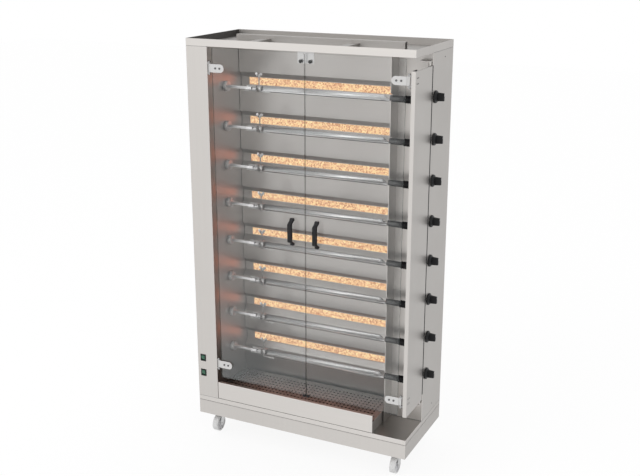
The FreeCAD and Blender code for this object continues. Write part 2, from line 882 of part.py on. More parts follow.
def blade():
    """The angle-section blade, cut aslant at its right end."""
    body = new_body("blade")
    reach = dim("blade_flange") / 2
    inner = reach - dim("blade_gauge")
    section = [(reach, -reach), (reach, reach), (inner, reach), (inner, -inner),
               (-reach, -inner), (-reach, -reach)]
    Outline(body, "YZ_Plane", BLADE_LEFT).polygon(section).pad(BLADE_RIGHT - BLADE_LEFT)
    slant = Outline(body, "XZ_Plane", -reach - 1)
    slant.polygon([(BLADE_RIGHT + 1, -inner + 0.5), (BLADE_RIGHT + 1, reach + 1),
                   (BLADE_RIGHT - BLADE_SLANT, reach + 1)])
    slant.pocket(dim("blade_flange") + 2, reverse=True)
    return body


def fork():
    """The meat fork: a block that slides on the blade, two tines and its wing screw."""
    half = FORK_HUB / 2
    hub = block(FORK_X, -half, -half, FORK_HUB_LENGTH, FORK_HUB, FORK_HUB)
    plate = new_body("tines")
    left = FORK_X + FORK_HUB_LENGTH - 2 * TINE
    tip = left + TINE_REACH
    point = tip - TINE_POINT
    near = TINE_SPREAD - TINE
    far = TINE_SPREAD + TINE
    outline = Outline(plate, "XY_Plane", 3 - half)
    outline.polygon([(left, -far), (point, -far), (tip, -TINE_SPREAD), (point, -near),
                     (left + 2 * TINE, -near), (left + 2 * TINE, near), (point, near),
                     (tip, TINE_SPREAD), (point, far), (left, far)])
    outline.pad(5)
    screw_x = FORK_X + 10
    stem = prism(screw_x, 0, half - 2, 6, 3.4, 42)
    wings = new_body("wings")
    wing = Outline(wings, "XZ_Plane", -WING_GAUGE / 2)
    wing.polygon([(screw_x, 50), (screw_x + 8, 54), (screw_x + 19, 66), (screw_x + 15, 74),
                  (screw_x + 8, 73), (screw_x, 63), (screw_x - 8, 73), (screw_x - 15, 74),
                  (screw_x - 19, 66), (screw_x - 8, 54)])
    wing.pad(WING_GAUGE)
    return [hub, plate, stem, wings]


def spit(number):
    """One spit with its drive shaft, sprocket, blade, fork and bearing sleeve."""
    shaft = rod_along_x(SHAFT_X, 0, 0, dim("shaft_radius"), COLUMN + 4 - SHAFT_X)
    socket = prism_along_x(COLUMN + 2, 0, 0, 12, SOCKET_RADIUS, SOCKET_LENGTH)
    shank_x = COLUMN + SOCKET_LENGTH - 2
    shank = block(shank_x, -SHANK / 2, -SHANK / 2, BLADE_LEFT + 30 - shank_x, SHANK, SHANK)
    tangs = [block(x, 0, -10, TANG, 10, 9) for x in (BLADE_LEFT, BLADE_RIGHT - TANG + 20)]
    sleeve = rod_along_x(WALL_X - 10, 0, 0, dim("sleeve_radius"), GRIP_X - WALL_X + 10)
    pieces = [shaft, sprocket(), socket, shank, blade(), sleeve] + tangs + fork()
    place(fused(pieces), f"spit_{number}", y=SPIT_Y, z=tier(number))


def spit_grip(number):
    """The ribbed heat-proof grip on the spit's right end."""
    radius = dim("grip_radius")
    step = dim("grip_length") / GRIP_RIBS
    pieces = []
    for rib in range(GRIP_RIBS):
        pieces.append(prism(0, 0, step * rib, 10, radius, step - GRIP_GROOVE))
        if rib < GRIP_RIBS - 1:
            pieces.append(prism(0, 0, step * (rib + 1) - GRIP_GROOVE, 10, radius - 2.5,
                                GRIP_GROOVE))
    place(fused(pieces), f"spit_grip_{number}", GRIP_X, SPIT_Y, tier(number), Y_AXIS, 90)


# Knobs and switches

KNOB_BAR = 16
KNOB_GAP = 0.4
SKIRT_HEIGHT = 7
SHOULDER_HEIGHT = 5
BEZEL_WIDTH = 30
BEZEL_HEIGHT = 36
WELL_WIDTH = 19
WELL_HEIGHT = 25
ROCKER_TILT = 9


def knob(number):
    """A gas knob: a faceted skirt in two steps, a bar grip across it and the stem's bore."""
    radius = dim("knob_radius")
    reach = dim("knob_reach") - KNOB_GAP
    skirt = prism(0, 0, 0, 16, radius, SKIRT_HEIGHT)
    shoulder = prism(0, 0, SKIRT_HEIGHT, 16, radius - 6, SHOULDER_HEIGHT)
    bar = new_body("bar")
    outline = Outline(bar, "XZ_Plane", -KNOB_BAR / 2)
    outline.polygon([(-18, 10), (18, 10), (18, reach - 4), (14, reach), (-14, reach),
                     (-18, reach - 4)])
    outline.pad(KNOB_BAR)
    bore = prism(0, 0, 0, 6, (VALVE_STEM + PIN_GAP) / math.cos(math.pi / 6),
                 SKIRT_HEIGHT + SHOULDER_HEIGHT)
    place(cut(fused([skirt, shoulder, bar]), bore), f"gas_knob_{number}", WIDTH + KNOB_GAP,
          dim("knob_setback"), tier(number) + KNOB_RISE, Y_AXIS, 90)


def switch_bezels():
    """The two frames that snap into the left column's windows."""
    frames = []
    for x, z in switch_spots():
        flange = block(x - BEZEL_WIDTH / 2, -2, z - BEZEL_HEIGHT / 2, BEZEL_WIDTH, 2,
                       BEZEL_HEIGHT)
        barrel = block(x - SWITCH_WIDTH / 2 + 0.2, 0, z - SWITCH_HEIGHT / 2 + 0.2,
                       SWITCH_WIDTH - 0.4, 26, SWITCH_HEIGHT - 0.4)
        hollow = block(x - WELL_WIDTH / 2, -3, z - WELL_HEIGHT / 2, WELL_WIDTH, 16,
                       WELL_HEIGHT)
        pivot = rod_along_x(x - WELL_WIDTH / 2 - 0.5, 1, z, SWITCH_PIVOT, WELL_WIDTH + 1)
        frames.append(fused([cut(fused([flange, barrel]), hollow), pivot]))
    place(group(frames), "switch_bezels")


def rocker(name, spot):
    """A rocker, its two faces meeting at a shallow angle, at rest in the off position."""
    body = new_body("rocker")
    section = [(-4.2, 0), (-1.5, 11.8), (7, 9), (9, 0), (7, -9), (-1.5, -11.8)]
    width = WELL_WIDTH - 1
    Outline(body, "YZ_Plane", -width / 2).polygon(section).pad(width)
    bore = Outline(body, "YZ_Plane", -width / 2)
    bore.circle(0, 0, SWITCH_PIVOT + PIN_GAP)
    bore.pocket(width, reverse=True)
    x, z = spot
    place(body, name, x, 1, z, X_AXIS, ROCKER_TILT)


# Doors and the swinging post

LUG = 6
LUG_GAP = 0.5
LUG_DEPTH = 12
HINGE_PIN = 3
PIN_HEAD = 6
BARREL = 5
LEAF_GAUGE = 3
LEAF_START = 10
LEAF_SCREWS = (34, 56)


def hinge_bracket(z, side, inset):
    """A fixed bracket: a plate on the jamb, two lugs and the headed pin through them."""
    lug_z = dim("leaf_height") / 2 + LUG_GAP
    reach = inset + LUG_DEPTH / 2
    height = 2 * (lug_z + LUG)
    foot = z - lug_z - LUG
    flange = block(0 if side > 0 else -2.5, 3, foot, 2.5, 16, height)
    lug_x = 0 if side > 0 else -reach
    lower = block(lug_x, HINGE_Y - LUG_DEPTH / 2, foot, reach, LUG_DEPTH, LUG)
    upper = block(lug_x, HINGE_Y - LUG_DEPTH / 2, z + lug_z, reach, LUG_DEPTH, LUG)
    pin = rod(side * inset, HINGE_Y, foot, HINGE_PIN, height)
    heads = [prism(side * inset, HINGE_Y, head_z, 8, 2 * HINGE_PIN, PIN_HEAD)
             for head_z in (foot - PIN_HEAD, foot + height)]
    return fused([flange, lower, upper, pin] + heads)


def hinge_brackets(label, jamb, side, inset):
    heights = (dim("hinge_top"), dim("hinge_bottom"))
    place(group([hinge_bracket(z, side, inset) for z in heights]), label, x=jamb)


def hinge_leaf(z, side):
    """The moving leaf: a plate with a round end, screwed to the glass, and its barrel."""
    body = new_body("leaf")
    half = dim("leaf_height") / 2
    reach = dim("leaf_reach")
    plate = Outline(body, "XZ_Plane", -dim("glass_setback"))
    end_x = reach + 11 - half
    plate.polygon([(side * LEAF_START, z - half), (side * end_x, z - half),
                   (side * end_x, z + half), (side * LEAF_START, z + half)])
    plate.pad(LEAF_GAUGE)
    doc.recompute()
    round_end = Outline(body, "XZ_Plane", -dim("glass_setback"))
    round_end.circle(side * end_x, z, half).pad(LEAF_GAUGE)
    doc.recompute()
    arm = Outline(body, "XY_Plane", z - half)
    arm.rectangle(0, dim("glass_setback"), side * 14.5, dim("glass_gauge")).pad(2 * half)
    doc.recompute()
    barrel = Outline(body, "XY_Plane", z - half)
    barrel.circle(0, HINGE_Y, BARREL).pad(2 * half)
    doc.recompute()
    bore = Outline(body, "XY_Plane", z - half)
    bore.circle(0, HINGE_Y, HINGE_PIN + PIN_GAP)
    bore.pocket(2 * half, reverse=True)
    screws = Outline(body, "XZ_Plane", LEAF_GAUGE - dim("glass_setback"))
    for reach_x in LEAF_SCREWS:
        screws.regular(side * reach_x, z, 4, 6)
    screws.pad(2)
    return body


def door(side_name, axis_x, side):
    """A frameless glass door with its hinge leaves, catch keeper and pull."""
    z = dim("door_foot")
    height = dim("door_head") - z
    seam = (LEFT_HINGE + RIGHT_HINGE) / 2
    body = new_body("glass")
    width = (RIGHT_HINGE - LEFT_HINGE) / 2 - PANE_EDGE - dim("door_gap") / 2
    pane = Outline(body, "XZ_Plane", -dim("glass_setback"))
    pane.rectangle(side * PANE_EDGE, z, side * width, height)
    pane.pad(dim("glass_gauge"), reverse=True)
    rounded(body, 4, lambda rim: runs_along(rim, Y_AXIS))
    place(body, f"{side_name}_door_glass", x=axis_x)
    leaves = [hinge_leaf(dim("hinge_top"), side), hinge_leaf(dim("hinge_bottom"), side)]
    keeper_x = seam - axis_x - side * MAGNET_SPREAD
    keeper = prism_along_y(keeper_x, dim("glass_setback") + dim("glass_gauge"), MAGNET_Z, 12,
                           8, 1.5)
    place(group(leaves + [keeper]), f"{side_name}_door_fittings", x=axis_x)
    pull(side_name, seam - side * PULL_SPREAD)


PANE_EDGE = 15
MAGNET_SPREAD = 23
MAGNET_Z = 1924
CATCH_FOOT = 1915
CATCH_WIDTH = 80
PULL_SPREAD = 63


def pull(side_name, x):
    """The black bow handle on the glass: slanting legs and a rounded upright grip."""
    body = new_body("pull")
    height = dim("pull_height")
    reach = dim("pull_reach")
    width = dim("pull_width")
    thick = 16
    foot = 18
    slope = 26
    bow = Outline(body, "YZ_Plane", -width / 2)
    bow.polygon([(0, 0), (-6, 0), (-reach, slope), (-reach, height - slope), (-6, height),
                 (0, height), (0, height - foot), (-4, height - foot),
                 (thick - reach, height - slope - 8), (thick - reach, slope + 8), (-4, foot),
                 (0, foot)])
    bow.pad(width)

    def on_the_grip(edge):
        return runs_along(edge, X_AXIS) and edge.CenterOfMass.y < thick - reach.number + 1

    rounded(body, 9, on_the_grip)
    z = dim("pull_middle") - height / 2
    place(body, f"{side_name}_door_pull", x, dim("glass_setback"), z)


def door_post():
    """The swinging right jamb: a tall channel with a pivot plate near each end."""
    body = new_body("door_post")
    depth = dim("post_depth")
    width = dim("post_width")
    height = dim("post_head") - dim("post_foot")
    path = [(4, depth), (width, depth), (width, 0), (0, 0), (0, 60)]
    Outline(body, "XY_Plane").polygon(folded(path, -1)).pad(height)
    axis_y = dim("post_axis_setback")
    for plate_z in (END_PLATE_PLACE, height - END_PLATE_PLACE - PIVOT_PLATE):
        plate = Outline(body, "XY_Plane", plate_z)
        plate.rectangle(GAUGE, axis_y - 25, width - 1.5 * GAUGE, 34).pad(PIVOT_PLATE)
        doc.recompute()
    hole = Outline(body, "XY_Plane")
    hole.circle((width - GAUGE) / 2, axis_y, PIVOT_RADIUS + PIN_GAP)
    hole.pocket(reverse=True)
    place(body, "door_post", x=POST_X, z=dim("post_foot"))


def door_catch():
    """The plate that hangs under the top, with one magnet for each door."""
    seam = (LEFT_HINGE + RIGHT_HINGE) / 2
    y = dim("glass_setback") + dim("glass_gauge") + 8
    left = seam - CATCH_WIDTH / 2
    plate = block(left, y, CATCH_FOOT, CATCH_WIDTH, GAUGE, RIM_FOOT - CATCH_FOOT)
    foot = block(left, y, RIM_FOOT - GAUGE, CATCH_WIDTH, 12, GAUGE)
    magnets = []
    for spread in (-MAGNET_SPREAD, MAGNET_SPREAD):
        magnets.append(prism_along_y(seam + spread, y - 6, MAGNET_Z, 12, 7, 6))
    place(group([fused([plate, foot])] + magnets), "door_catch")


# Drip drawer

DRAWER_LEFT = 114
PAN_HEIGHT = 58
PLATE_GAUGE = 1.5
DRAWER_LENGTH = 268
ROLL_FRONT = 16
ROLL_DEPTH = 18
ROLL_DROP = 10
LIP_DROP = 8


def drip_drawer():
    """The drip pan with its tall front, which has a rounded roll along the top."""
    body = new_body("drip_drawer")
    right = dim("drawer_right")
    width = right - DRAWER_LEFT
    pan = Outline(body, "XY_Plane")
    pan.rectangle(DRAWER_LEFT, GAUGE, width, DRAWER_LENGTH - GAUGE).pad(PAN_HEIGHT)
    inside = Outline(body, "XY_Plane", PAN_HEIGHT)
    inside.rectangle(DRAWER_LEFT + GAUGE, 2 * GAUGE, width - 2 * GAUGE,
                     DRAWER_LENGTH - 3 * GAUGE)
    inside.pocket(PAN_HEIGHT - GAUGE)
    front = Outline(body, "YZ_Plane", DRAWER_LEFT)
    top = dim("drawer_front")
    front.polygon([(0, 3), (GAUGE, 3), (GAUGE, top - GAUGE), (ROLL_FRONT, top - GAUGE),
                   (ROLL_FRONT, top - ROLL_DROP), (ROLL_DEPTH, top - ROLL_DROP),
                   (ROLL_DEPTH, top), (0, top)])
    front.pad(width)
    rounded(body, 1.5, lambda edge: (runs_along(edge, X_AXIS) and edge.CenterOfMass.y < 0.1
                                     and edge.CenterOfMass.z > top.number - 0.1))
    place(body, "drip_drawer", z=FLOOR)


HOLE_COLUMNS = 17
HOLE_ROWS = 5
HOLE_STEP = 47
HOLE_INSET = 32
HOLE = 7


def grease_plate():
    """The perforated plate that lies on the pan's rims, its lips turned down inside."""
    body = new_body("grease_plate")
    width = dim("drawer_right") - DRAWER_LEFT
    front = size(ROLL_DEPTH + 1)
    depth = DRAWER_LENGTH - front
    Outline(body, "XY_Plane").rectangle(DRAWER_LEFT, front, width, depth).pad(PLATE_GAUGE)
    lips = Outline(body, "XY_Plane")
    near = GAUGE + 0.5
    lips.rectangle(DRAWER_LEFT + near, front, width - 2 * near, depth - near)
    lips.rectangle(DRAWER_LEFT + near + PLATE_GAUGE, front + PLATE_GAUGE,
                   width - 2 * near - 2 * PLATE_GAUGE, depth - near - 2 * PLATE_GAUGE)
    lips.pad(LIP_DROP, reverse=True)
    holes = Outline(body, "XY_Plane", PLATE_GAUGE)
    for row in range(HOLE_ROWS):
        x = DRAWER_LEFT + HOLE_INSET + HOLE_STEP / 2 * (row % 2)
        y = front + HOLE_INSET - 2 + HOLE_STEP * row
        holes.regular(x, y, HOLE, 4)
    first = holes.pocket(2 * PLATE_GAUGE)
    repeated(body, [first], (holes.sketch, ["H_Axis"]), size(HOLE_STEP), HOLE_COLUMNS)
    place(body, "grease_plate", z=FLOOR + PAN_HEIGHT)


# Casters

LEG_GAUGE = 3
TREAD_SIDES = 32


def caster_fork(label, x, y):
    """A swivel fork: crown with its bore, two legs that lean to the axle, and the axle."""
    body = new_body("caster_fork")
    crown_z = dim("caster_height") - PLATE - ROUND_GAP
    trail = dim("caster_trail")
    axle_z = dim("wheel_radius")
    crown = Outline(body, "XY_Plane", crown_z - CROWN)
    crown.regular(0, 0, 27, 8).pad(CROWN)
    doc.recompute()
    inner = dim("wheel_width") / 2 + 1.5
    for x_leg in (-inner - LEG_GAUGE, inner):
        leg = Outline(body, "YZ_Plane", x_leg)
        leg.polygon([(-18, crown_z - CROWN), (18, crown_z - CROWN), (18, crown_z - 16),
                     (-trail + 9, axle_z - 9), (-trail - 9, axle_z - 9),
                     (-trail - 12, axle_z + 12)])
        leg.pad(LEG_GAUGE)
        doc.recompute()
    axle = Outline(body, "YZ_Plane", -inner - 2 * LEG_GAUGE)
    axle.regular(-trail, axle_z, AXLE, 12).pad(2 * inner + 4 * LEG_GAUGE)
    doc.recompute()
    bore = Outline(body, "XY_Plane", crown_z - CROWN)
    bore.regular(0, 0, (KINGPIN + PIN_GAP) / math.cos(math.pi / 16), 16)
    bore.pocket(CROWN, reverse=True)
    place(body, label, x, y)


def caster_wheel(label, x, y):
    """The wheel: a plain tread of many small flats round the hub bore."""
    radius = dim("wheel_radius")
    width = dim("wheel_width")
    tread = prism(0, 0, -width / 2, TREAD_SIDES, radius, width)
    bore = rod(0, 0, -width / 2, AXLE + PIN_GAP, width)
    place(cut(tread, bore), label, x, y - dim("caster_trail"), radius, Y_AXIS, 90)


CORNERS = ("front_left", "front_right", "rear_left", "rear_right")

base_frame()
base_floor()
left_housing()
left_wall()
right_wall()
right_housing()
reflector()
burner_bodies()
burner_plaques()
top_tray()
back_panel()
gas_manifold()
spit_drive()
switch_bezels()
door_catch()
hinge_brackets("left_hinge_brackets", COLUMN, 1, dim("hinge_inset"))
door_post()
hinge_brackets("post_hinge_brackets", POST_X, -1, dim("post_hinge_inset"))
door("left", LEFT_HINGE, 1)
door("right", RIGHT_HINGE, -1)
drip_drawer()
grease_plate()
for corner, (spot_x, spot_y) in zip(CORNERS, caster_spots()):
    caster_fork(f"caster_fork_{corner}", spot_x, spot_y)
    caster_wheel(f"caster_wheel_{corner}", spot_x, spot_y)
for rank, spot in enumerate(switch_spots(), start=1):
    rocker(f"switch_rocker_{rank}", spot)
for tier_number in range(1, TIERS + 1):
    spit(tier_number)
    spit_grip(tier_number)
    knob(tier_number)

doc.recompute()
for item in doc.Objects:
    if "Invalid" in item.State or "Error" in item.State:
        raise RuntimeError(f"{item.Label} did not compute")
os.makedirs("parts", exist_ok=True)
for piece in parts:
    if piece.Shape.isNull() or not piece.Shape.isValid() or not piece.Shape.Solids:
        raise RuntimeError(f"{piece.Label} has no sound shape")
    piece.Shape.exportStep(f"parts/{piece.Label}.step")
whole = Part.makeCompound([piece.Shape for piece in parts])
print(len(parts), "pieces", whole.BoundBox)
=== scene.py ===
# %% [markdown]
# This lesson dresses a gas rotisserie: a tall steel cabinet on casters with two glass
# doors, eight spits, eight glowing ceramic burners, black knobs and a drip drawer.
# The engineering model comes in as a fixed frame of separate nodes in metres, so
# nothing here moves or resizes it. The looks are built round it.

# %% Load the frame
import math

import bmesh
import bpy
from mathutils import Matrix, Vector


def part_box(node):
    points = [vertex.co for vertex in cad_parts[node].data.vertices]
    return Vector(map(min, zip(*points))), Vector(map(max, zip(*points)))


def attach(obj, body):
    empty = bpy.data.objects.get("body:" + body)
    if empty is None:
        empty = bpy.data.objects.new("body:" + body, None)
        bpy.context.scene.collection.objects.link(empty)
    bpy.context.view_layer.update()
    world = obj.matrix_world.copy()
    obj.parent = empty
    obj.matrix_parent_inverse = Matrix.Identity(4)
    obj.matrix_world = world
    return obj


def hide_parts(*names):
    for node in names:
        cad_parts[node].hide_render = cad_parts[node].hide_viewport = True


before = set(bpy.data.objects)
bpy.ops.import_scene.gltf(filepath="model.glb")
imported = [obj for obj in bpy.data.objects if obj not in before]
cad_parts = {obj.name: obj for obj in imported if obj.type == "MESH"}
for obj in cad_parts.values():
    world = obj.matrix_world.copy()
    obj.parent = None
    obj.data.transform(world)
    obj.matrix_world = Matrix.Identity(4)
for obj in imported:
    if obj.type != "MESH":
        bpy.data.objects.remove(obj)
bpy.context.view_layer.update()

TIERS = range(1, 9)
CORNERS = ("front_left", "front_right", "rear_left", "rear_right")
MM = 0.001

# %% [markdown]
# The camera comes first, because every choice after it is judged from there. The
# photograph looks down on the cabinet from its right, and its long upright edges
# converge a little towards the floor. A lens and a place that reproduce those edges
# were found from the cabinet's straight lines, and they are kept here as plain values.

# %% Camera
CAMERA_PLACE = (1.9618, -4.0850, 2.4581)
CAMERA_AZIMUTH = math.radians(25.788)
CAMERA_ELEVATION = math.radians(17.171)

bpy.ops.object.camera_add(
    location=CAMERA_PLACE,
    rotation=(math.pi / 2 - CAMERA_ELEVATION, 0, CAMERA_AZIMUTH))
camera = bpy.context.object
camera.name = "studio_camera"
camera.data.sensor_width = 36
camera.data.lens = 55.57
bpy.context.scene.camera = camera
print("camera", CAMERA_PLACE, "lens", camera.data.lens)

# %% [markdown]
# A product photograph of steel is a photograph of what the steel reflects. Here the
# steel reflects a white room on every side, so it shows its own even colour. One soft
# lamp high at the front left adds a direction: it gives the floor a faint shadow and
# the plastics a highlight. It hangs above the line in which the glass would mirror it.

# %% Studio
SURROUND = 0.9


def area_lamp(name, place, aim, size, power):
    """A square soft lamp at a place, turned towards a point."""
    bpy.ops.object.light_add(type="AREA", location=place)
    lamp = bpy.context.object
    lamp.name = name
    lamp.data.size = size
    lamp.data.energy = power
    lamp.rotation_euler = (Vector(aim) - Vector(place)).to_track_quat("-Z", "Y").to_euler()
    return lamp


area_lamp("key_lamp", (-3.0, -5.0, 5.2), (0, 0, 1.0), 3.5, 70)
print("one lamp, and a surround of strength", SURROUND)

# %% [markdown]
# Each finish is a small shader graph. It could be wired node by node, but shader maths
# written as Python sums keeps a graph short enough to read: a Signal wraps a socket,
# and an expression on Signals adds its Math nodes.

# %% Shader maths
class Signal:
    """A node's output, whose sums become Math nodes."""

    def __init__(self, finish, socket):
        self.finish = finish
        self.socket = socket

    def maths(self, operation, first, second):
        settings = {"operation": operation}
        return self.finish.node("ShaderNodeMath", settings, {0: first, 1: second})

    def __add__(self, other):
        return self.maths("ADD", self, other)

    __radd__ = __add__

    def __sub__(self, other):
        return self.maths("SUBTRACT", self, other)

    def __mul__(self, other):
        return self.maths("MULTIPLY", self, other)

    __rmul__ = __mul__

    def above(self, limit):
        return self.maths("GREATER_THAN", self, limit)


print("sums of signals ready")

# %% [markdown]
# A Finish is a material with a Principled shader. Every node that isn't a sum comes
# from its one node method, which takes the node's type, its settings and its inputs.
# The short methods after it name the patterns that come back in many finishes: noise
# in Object coordinates, a colour ramp, a blend of two colours, and a bump.

# %% Finishes
class Finish:
    """A material with a Principled shader, built one node at a time."""

    def __init__(self, name, **constants):
        self.material = bpy.data.materials.new(name)
        self.material.use_nodes = True
        self.tree = self.material.node_tree
        self.shader = self.tree.nodes["Principled BSDF"]
        for socket, value in constants.items():
            self.shader.inputs[socket.replace("_", " ")].default_value = value

    def node(self, kind, settings, inputs, output=0):
        made = self.tree.nodes.new(kind)
        for name, value in settings.items():
            if name == "stops":
                self.fill_ramp(made.color_ramp, value)
            else:
                setattr(made, name, value)
        for name, value in inputs.items():
            self.feed(made.inputs[name], value)
        return Signal(self, made.outputs[output])

    def feed(self, socket, value):
        if isinstance(value, Signal):
            self.tree.links.new(value.socket, socket)
        else:
            socket.default_value = value

    def fill_ramp(self, ramp, stops):
        while len(ramp.elements) < len(stops):
            ramp.elements.new(0.5)
        for element, (place, colour) in zip(ramp.elements, stops):
            element.position = place
            element.color = colour

    def surface(self, **inputs):
        for name, value in inputs.items():
            self.feed(self.shader.inputs[name.replace("_", " ")], value)
        return self.material

    def place(self, scale=(1, 1, 1), turn=(0, 0, 0)):
        """Object coordinates in metres, stretched and turned."""
        spot = self.node("ShaderNodeTexCoord", {}, {}, "Object")
        return self.node("ShaderNodeMapping", {}, {"Vector": spot, "Scale": scale,
                                                   "Rotation": turn})

    def noise(self, scale, stretch=(1, 1, 1), detail=3.0):
        """Noise with so many lumps to a metre."""
        spot = self.place(stretch)
        inputs = {"Vector": spot, "Scale": scale, "Detail": detail, "Roughness": 0.55}
        return self.node("ShaderNodeTexNoise", {}, inputs, "Fac")

    def ramp(self, signal, *stops):
        return self.node("ShaderNodeValToRGB", {"stops": stops}, {"Fac": signal}, "Color")

    def blend(self, factor, one, other):
        """A colour between two."""
        settings = {"data_type": "RGBA"}
        return self.node("ShaderNodeMix", settings, {0: factor, 6: one, 7: other}, 2)

    def edge_on(self):
        """0 where a surface is seen face on, towards 1 where it is seen edge on."""
        return self.node("ShaderNodeLayerWeight", {}, {"Blend": 0.5}, "Facing")

    def seen_by(self, *rays):
        """1 for the named kinds of ray and 0 for the others."""
        paths = self.tree.nodes.new("ShaderNodeLightPath")
        total = sum(Signal(self, paths.outputs[f"Is {ray} Ray"]) for ray in rays)
        return total.above(0.5)

    def bump(self, height, strength, distance):
        inputs = {"Height": height, "Strength": strength, "Distance": distance}
        return self.node("ShaderNodeBump", {}, inputs, "Normal")


def grey(level, warmth=0.0):
    """A linear grey with a little warmth."""
    return (level * (1 + warmth), level, level * (1 - warmth), 1)


print("shader helpers ready")

# %% [markdown]
# The floor and the surround are the stage. Both are plain white to the camera, to
# mirrors and through glass. The floor's white is mostly its own light, and the rest
# is ordinary matt paint, which keeps the soft shadow under the casters.

# %% Floor and surround
FLOOR_SIDE = 30
OWN_LIGHT = 0.85
DIRECT = ("Camera", "Glossy", "Transmission")


def floor_finish():
    finish = Finish("studio_floor", Roughness=0.8)
    finish.surface(Base_Color=grey(0.86))
    white = finish.node("ShaderNodeEmission", {}, {"Color": grey(1.0), "Strength": 1.03},
                        "Emission")
    matt = Signal(finish, finish.shader.outputs[0])
    share = OWN_LIGHT * finish.seen_by(*DIRECT)
    mixed = finish.node("ShaderNodeMixShader", {}, {0: share, 1: matt, 2: white}, "Shader")
    out = finish.tree.nodes["Material Output"]
    finish.tree.links.new(mixed.socket, out.inputs["Surface"])
    return finish.material


bpy.ops.mesh.primitive_plane_add(size=FLOOR_SIDE, location=(0, 0, 0))
floor = bpy.context.object
floor.name = "studio_floor"
floor.data.materials.append(floor_finish())


class Surround(Finish):
    """The world's own small graph, made with the same helpers."""

    def __init__(self):
        self.world = bpy.data.worlds.new("studio_surround")
        self.world.use_nodes = True
        self.tree = self.world.node_tree
        bpy.context.scene.world = self.world


surround = Surround()
backdrop = surround.tree.nodes["Background"]
backdrop.inputs["Color"].default_value = grey(1.0)
seen = surround.seen_by(*DIRECT)
surround.feed(backdrop.inputs["Strength"], SURROUND + (1 - SURROUND) * seen)
bpy.context.scene.view_settings.view_transform = "Standard"
print("floor", FLOOR_SIDE, "m wide, own light", OWN_LIGHT)

# %% [markdown]
# Nearly everything here is stainless sheet, so its finish matters most. Real brushed
# sheet has three scales of detail: hair-fine scratches along the rolling direction,
# broad faint streaks, and cloudy patches where hands and cloths have passed. The
# scratches are noise squeezed across the grain. They change the roughness and, a
# little, the colour and the height. Where the sheet is seen edge on, a Layer Weight
# node blends its colour towards black by a share. That is painted shade, and it makes
# the cabinet's right side greyer than its front.

# %% Stainless sheet
WARMTH = 0.042
GRAIN = {"X": (0.012, 1, 1), "Z": (1, 1, 0.012)}
HAIRS, STREAKS, CLOUDS = 900, 60, 5


def brushed(name, colour, roughness, grain="Z", streak=0.07, edge_on_shade=0.5, warmth=WARMTH,
            metallic=1.0):
    """Sheet metal brushed along one axis, its colour darkened by a share where seen edge on, a
    painted shade.
    """
    finish = Finish(name, Metallic=metallic)
    hairs = finish.noise(HAIRS, GRAIN[grain], 2.0)
    streaks = finish.noise(STREAKS, GRAIN[grain], 3.0)
    clouds = finish.noise(CLOUDS, (1, 1, 1), 4.0)
    shade = 0.5 + 2.5 * streak * (streaks + 0.5 * hairs - 0.75)
    tint = finish.blend(shade, grey(colour * 0.8, warmth), grey(colour * 1.2, warmth))
    # Painted shade: the colour is blended towards black where the sheet is seen edge on, so sides
    # seen at a slant look greyer.
    tint = finish.blend(edge_on_shade * finish.edge_on(), tint, grey(0.0))
    rough = roughness + 0.10 * (streaks + 0.6 * hairs - 0.8) + 0.12 * (clouds - 0.5)
    relief = finish.bump(hairs, 0.05, 0.0002)
    return finish.surface(Base_Color=tint, Roughness=rough, Normal=relief)


housing_sheet = brushed("housing_stainless", 0.70, 0.42, edge_on_shade=0.54)
level_sheet = brushed("level_stainless", 0.76, 0.42, "X", edge_on_shade=0.56)
post_sheet = brushed("post_stainless", 0.68, 0.40, edge_on_shade=0.52)
tray_sheet = brushed("tray_inside", 0.48, 0.50, "X", streak=0.12, edge_on_shade=0.30)
# Painted shade: a dark steel for where shade falls, in the post's channel and on its upper end,
# on the top tray's left wall and on the floor tray's hem.
painted_shade_sheet = brushed("painted_shade_steel", 0.12, 0.55, "X", streak=0.25, edge_on_shade=0.30)
# A darker tone of the level steel, for the floor tray's flat top.
darker_floor_sheet = brushed("darker_stainless", 0.55, 0.42, "X", streak=0.12)
# The chamber's walls and the reflector are darker tones of the same steel: painted shade for the
# inside of the chamber.
chamber_shade_sheet = brushed("chamber_stainless", 0.64, 0.36, streak=0.10, edge_on_shade=0.42)
reflector_shade_sheet = brushed("reflector_stainless", 0.505, 0.33, "X", streak=0.10, edge_on_shade=0.3)
burner_sheet = brushed("burner_pressing", 0.68, 0.50, "X", streak=0.2)
zinc = brushed("zinc_plate", 0.72, 0.42, streak=0.15, edge_on_shade=0.25, warmth=0.0)
print("sheet finishes ready")

# %% [markdown]
# Small bright fittings are polished rather than brushed, so they get a smoother
# steel with fine clouds in its gloss. The screws are darker, which makes them show on
# their leaves. The brass and the oiled iron are inside, where only the slots show them.

# %% Small metals
def cast_or_turned(name, colour, roughness, lumps, mottle, metallic=1.0):
    """A small metal part whose colour and gloss vary in fine clouds."""
    finish = Finish(name, Metallic=metallic)
    clouds = finish.noise(lumps, (1, 1, 1), 4.0)
    darker = tuple(c * (1 - mottle) for c in colour[:3]) + (1,)
    tint = finish.blend(clouds, darker, colour)
    relief = finish.bump(clouds, 0.06, 0.0003)
    rough = roughness + 0.12 * (clouds - 0.5)
    return finish.surface(Base_Color=tint, Roughness=rough, Normal=relief)


fitting_steel = cast_or_turned("polished_fitting", grey(0.70, 0.01), 0.30, 180, 0.12)
bracket_chrome = cast_or_turned("bracket_chrome", grey(0.50, 0.01), 0.14, 180, 0.4)
screw_steel = cast_or_turned("screw_steel", grey(0.13), 0.35, 400, 0.4)
catch_magnet = cast_or_turned("catch_magnet", grey(0.06), 0.45, 300, 0.5, 0.4)
gas_brass = cast_or_turned("valve_brass", (0.62, 0.44, 0.19, 1), 0.38, 120, 0.25)
drive_iron = cast_or_turned("oiled_iron", grey(0.20), 0.42, 90, 0.35)
